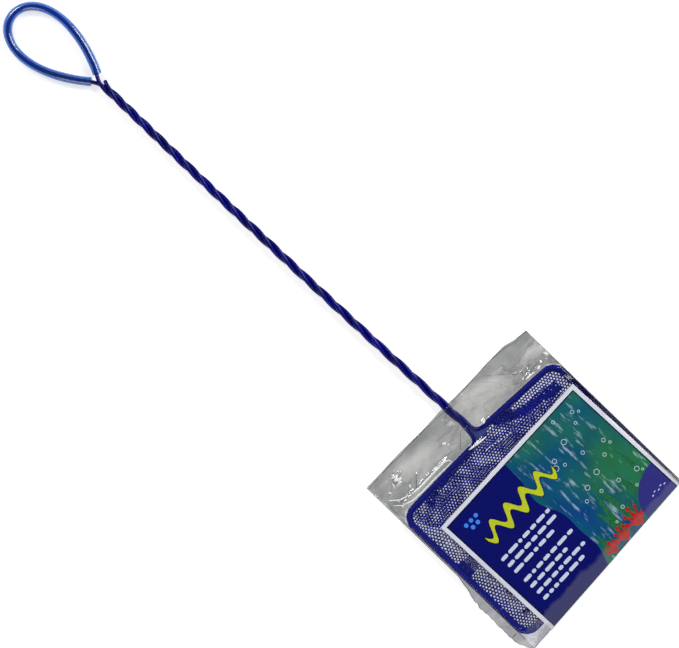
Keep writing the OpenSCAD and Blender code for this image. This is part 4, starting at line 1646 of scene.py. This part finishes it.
class FISHNET_OT_net(PieceOperator, Operator):
    """Knits the net: the layer under the mouth in two halves and the pocket's slack folded beneath it"""

    bl_idname = "fishnet.net"
    bl_label = "Net"

    def execute(self, context):
        net, hoop = self.net, self.net.hoop
        nylon = net_finish(net.colours)
        near, far, slack, toe = (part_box(n) for n in ("net_near", "net_far", "net_slack", "toe_seam"))
        split = (near[1].x + far[0].x) / 2
        reach = hoop.side_y - hoop.hem_radius * 0.6
        level = (near[0].z + near[1].z) / 2
        low, high = (-hoop.bar_x - 6 * MM, -hoop.side_y), (hoop.bar_x, hoop.side_y)

        def inside(x, y):
            return (np.abs(y) < reach) & (x > near_line(net, y) + 1.2 * MM) & (x < hoop.bar_x - 0.6 * hoop.hem_radius)

        for name, keep, depth, hole_by in (
            ("net_near", lambda x, y: inside(x, y) & (x < split), split - near[0].x, 1.0),
            ("net_far", lambda x, y: inside(x, y) & (x >= split), far[1].x - split, 0.9),
        ):
            knit = cloth(net, keep, level, 0.0, 3, low, high, hole_by)
            piece = make_piece(name + "_knit", knit, nylon, "net", [name])

        # The slack's lattices are turned, so they start from a wider rectangle than the cloth
        level = (slack[0].z + slack[1].z) / 2
        low, high = (slack[0].x - 9 * MM, -hoop.side_y), (toe[1].x + 9 * MM, hoop.side_y)
        knit = cloth(net, lambda x, y: within(x, y, SLACK) & (x < toe[1].x - 0.6 * MM), level, math.radians(7), 17,
                     low, high, hole_by=1.17)
        piece = make_piece("net_slack_knit", knit, nylon, "net", ["net_slack"])
        for name, outline in FOLDS.items():
            layers = [
                cloth(net, lambda x, y: within(x, y, outline), level + rise * MM, math.radians(turn), 40 + layer,
                      low, high, hole_by=0.75)
                for layer, (turn, rise) in enumerate(FOLD_LAYERS)
            ]
            make_piece(name, merged(layers), nylon, "net")
        return {"FINISHED"}


class FISHNET_OT_card(PieceOperator, Operator):
    """Makes the white card with softly cut edges"""

    bl_idname = "fishnet.card"
    bl_label = "Card"

    def execute(self, context):
        net, card = self.net, self.net.card
        grid = card_grid(net, (-card.length / 2, -card.width / 2), (card.length, card.width / 2), 60, 48)
        make_piece("insert_card_stock", slab(grid, card.stock), card_finish(net.colours),
                   "card", ["insert_card"], sharp=60)
        return {"FINISHED"}


class FISHNET_OT_print(PieceOperator, Operator):
    """Prints the card: a navy field, a water picture with leaves and bubbles, a ribbon and plain rules"""

    bl_idname = "fishnet.print"
    bl_label = "Print"

    def execute(self, context):
        net, colours = self.net, self.net.colours
        dark = ink_finish("dark_ink", colours.dark)
        pale = ink_finish("pale_ink", colours.pale, 0.06)
        corner, ticks = printed_corner(net)
        prints = (
            ("card_outline", printed_field(net, 0.7 * MM), dark),
            ("card_field", printed_field(net, 0), ink_finish("navy_ink", colours.navy)),
            ("card_water", printed_water(net), water_finish(colours)),
            ("card_leaves", printed_leaves(net), ink_finish("leaf_ink", colours.leaf, 0.3)),
            ("card_corals", printed_corals(net), ink_finish("red_ink", colours.red, 0.3)),
            ("card_bubbles", printed_bubbles(net), pale),
            ("card_corner", corner, ink_finish("violet_ink", colours.violet)),
            ("card_ticks", ticks, pale),
            ("card_ribbon_edge", printed_ribbon(net, 0.6 * MM), dark),
            ("card_ribbon", printed_ribbon(net, 0), ink_finish("lime_ink", colours.lime)),
            ("card_rules", printed_rules(net), pale),
            ("card_dots", printed_dots(net), ink_finish("sky_ink", colours.sky)),
        )
        for layer, (name, (points, faces), ink) in enumerate(prints, 1):
            make_piece(name, (points + [0, 0, layer * INK], faces), ink, "card")
        return {"FINISHED"}


class FISHNET_OT_film(PieceOperator, Operator):
    """Lays the clear bag: the front film draped over the net and card, the back film, the weld and the edges"""

    bl_idname = "fishnet.film"
    bl_label = "Bag"

    def execute(self, context):
        net, bag, colours = self.net, self.net.bag, self.net.colours
        edges = bag_edges()
        # Outside the hoop each film takes a darker tint, which is painted shade
        film = film_finish("clear_film", colours, tinted(colours.film, 0.94), 0.0, 0.085)
        back_film = film_finish("clear_film_back", colours, colours.film_back, 0.04)
        # The lips, folds and weld take a darker tint than the film: partly the real layers of film, partly painted
        # shade along them
        edge_film = film_finish("film_edge", colours, colours.film_edge, 0.1)

        def laid(name, shape, finish, nodes=()):
            return make_piece(name, shape, finish, "bag", nodes)

        front = draped_film(net)
        film_front = laid("film_front", sheet_grid(front), film, ["bag_front"])

        s, t = np.linspace(0, 1, 90)[:, None], np.linspace(0, 1, 90)[None, :]
        x, y = bag_grid(edges, s, t, lambda y: 0.6 * MM * waves(y, 0 * y, 40 * MM, 23, 2))
        back = np.stack([x, y, bag.lie * (1 + 0.5 * waves(x, y, 23 * MM, 41, 2))], -1)
        film_back = laid("film_back", sheet_grid(back), back_film, ["bag_back"])

        # White strips laid on the creases, which are painted glints
        laid("film_painted_glints", crease_shape(front, PAINTED_GLINTS), painted_glint_finish())
        laid("film_folded", crease_shape(front, FOLDED), edge_film)

        # The welded side's frill is narrow near the mouth and wide over the rest
        x = np.linspace(edges.mouth, edges.far_left, 260)[:, None]
        places = (edges.mouth, -3 * MM, 17 * MM, edges.far_left - 8 * MM, edges.far_left)
        width = MM * np.interp(x, places, (0.6, 0.6, 4.6, 4.6, 0.3))
        frill = 0.6 * MM * waves(x, 0 * x, 9 * MM, 51, 3) * (width > 2 * MM)
        t = np.linspace(0, 1, 14)[None, :]
        y = np.maximum(edges.left - (width + frill) * t, edges.weld_out - 0.3 * MM)
        z = bag.lie + 0.1 * MM + t * 0.5 * MM * np.clip(waves(x, y, 6 * MM, 52, 3), 0, 1)
        weld = np.stack([x + 0 * y, y, z], -1)

        laid("film_mouth_front", lip_shape(front[0], bag.lip), edge_film)
        laid("film_mouth_back", lip_shape(back[0], bag.lip), edge_film)
        laid("film_fold", lip_shape(front[:, -1], 1.4 * bag.lip), edge_film, ["bag_fold_side"])
        laid("film_end", lip_shape(front[-1], 1.6 * bag.lip), edge_film, ["bag_end"])
        laid("film_weld", sheet_grid(weld[:, ::-1]), edge_film, ["bag_weld_side"])
        laid("film_weld_edge", lip_shape(weld[:, -1], bag.lip), edge_film)
        return {"FINISHED"}


class FISHNET_PT_sidebar(Panel):
    """The operators and the settings in the 3D view's sidebar"""

    bl_idname = "FISHNET_PT_sidebar"
    bl_label = "Fish net"
    bl_space_type = "VIEW_3D"
    bl_region_type = "UI"
    bl_category = "Fish net"

    def draw(self, context):
        for operator in OPERATORS:
            self.layout.operator(operator.bl_idname)
        for group in FishNet.__annotations__:
            box = self.layout.box()
            box.label(text=group.capitalize())
            settings = getattr(context.scene.fish_net, group)
            for name in type(settings).__annotations__:
                box.prop(settings, name)


GROUPS = (WireSizes, LoopSizes, HoopSizes, NetSizes, CardSizes, BagSizes, Colours, StageSettings, FishNet)
OPERATORS = (
    FISHNET_OT_stage, FISHNET_OT_wire, FISHNET_OT_grip, FISHNET_OT_hem, FISHNET_OT_seams,
    FISHNET_OT_net, FISHNET_OT_card, FISHNET_OT_print, FISHNET_OT_film,
)
CLASSES = (*GROUPS, *OPERATORS, FISHNET_PT_sidebar)


def register():
    for cls in CLASSES:
        bpy.utils.register_class(cls)
    bpy.types.Scene.fish_net = PointerProperty(type=FishNet)


def unregister():
    del bpy.types.Scene.fish_net
    for cls in reversed(CLASSES):
        bpy.utils.unregister_class(cls)


def main():
    """Registers the add-on and makes every piece."""
    register()
    for operator in OPERATORS:
        group, name = operator.bl_idname.split(".")
        getattr(getattr(bpy.ops, group), name)()


if __name__ == "__main__":
    main()
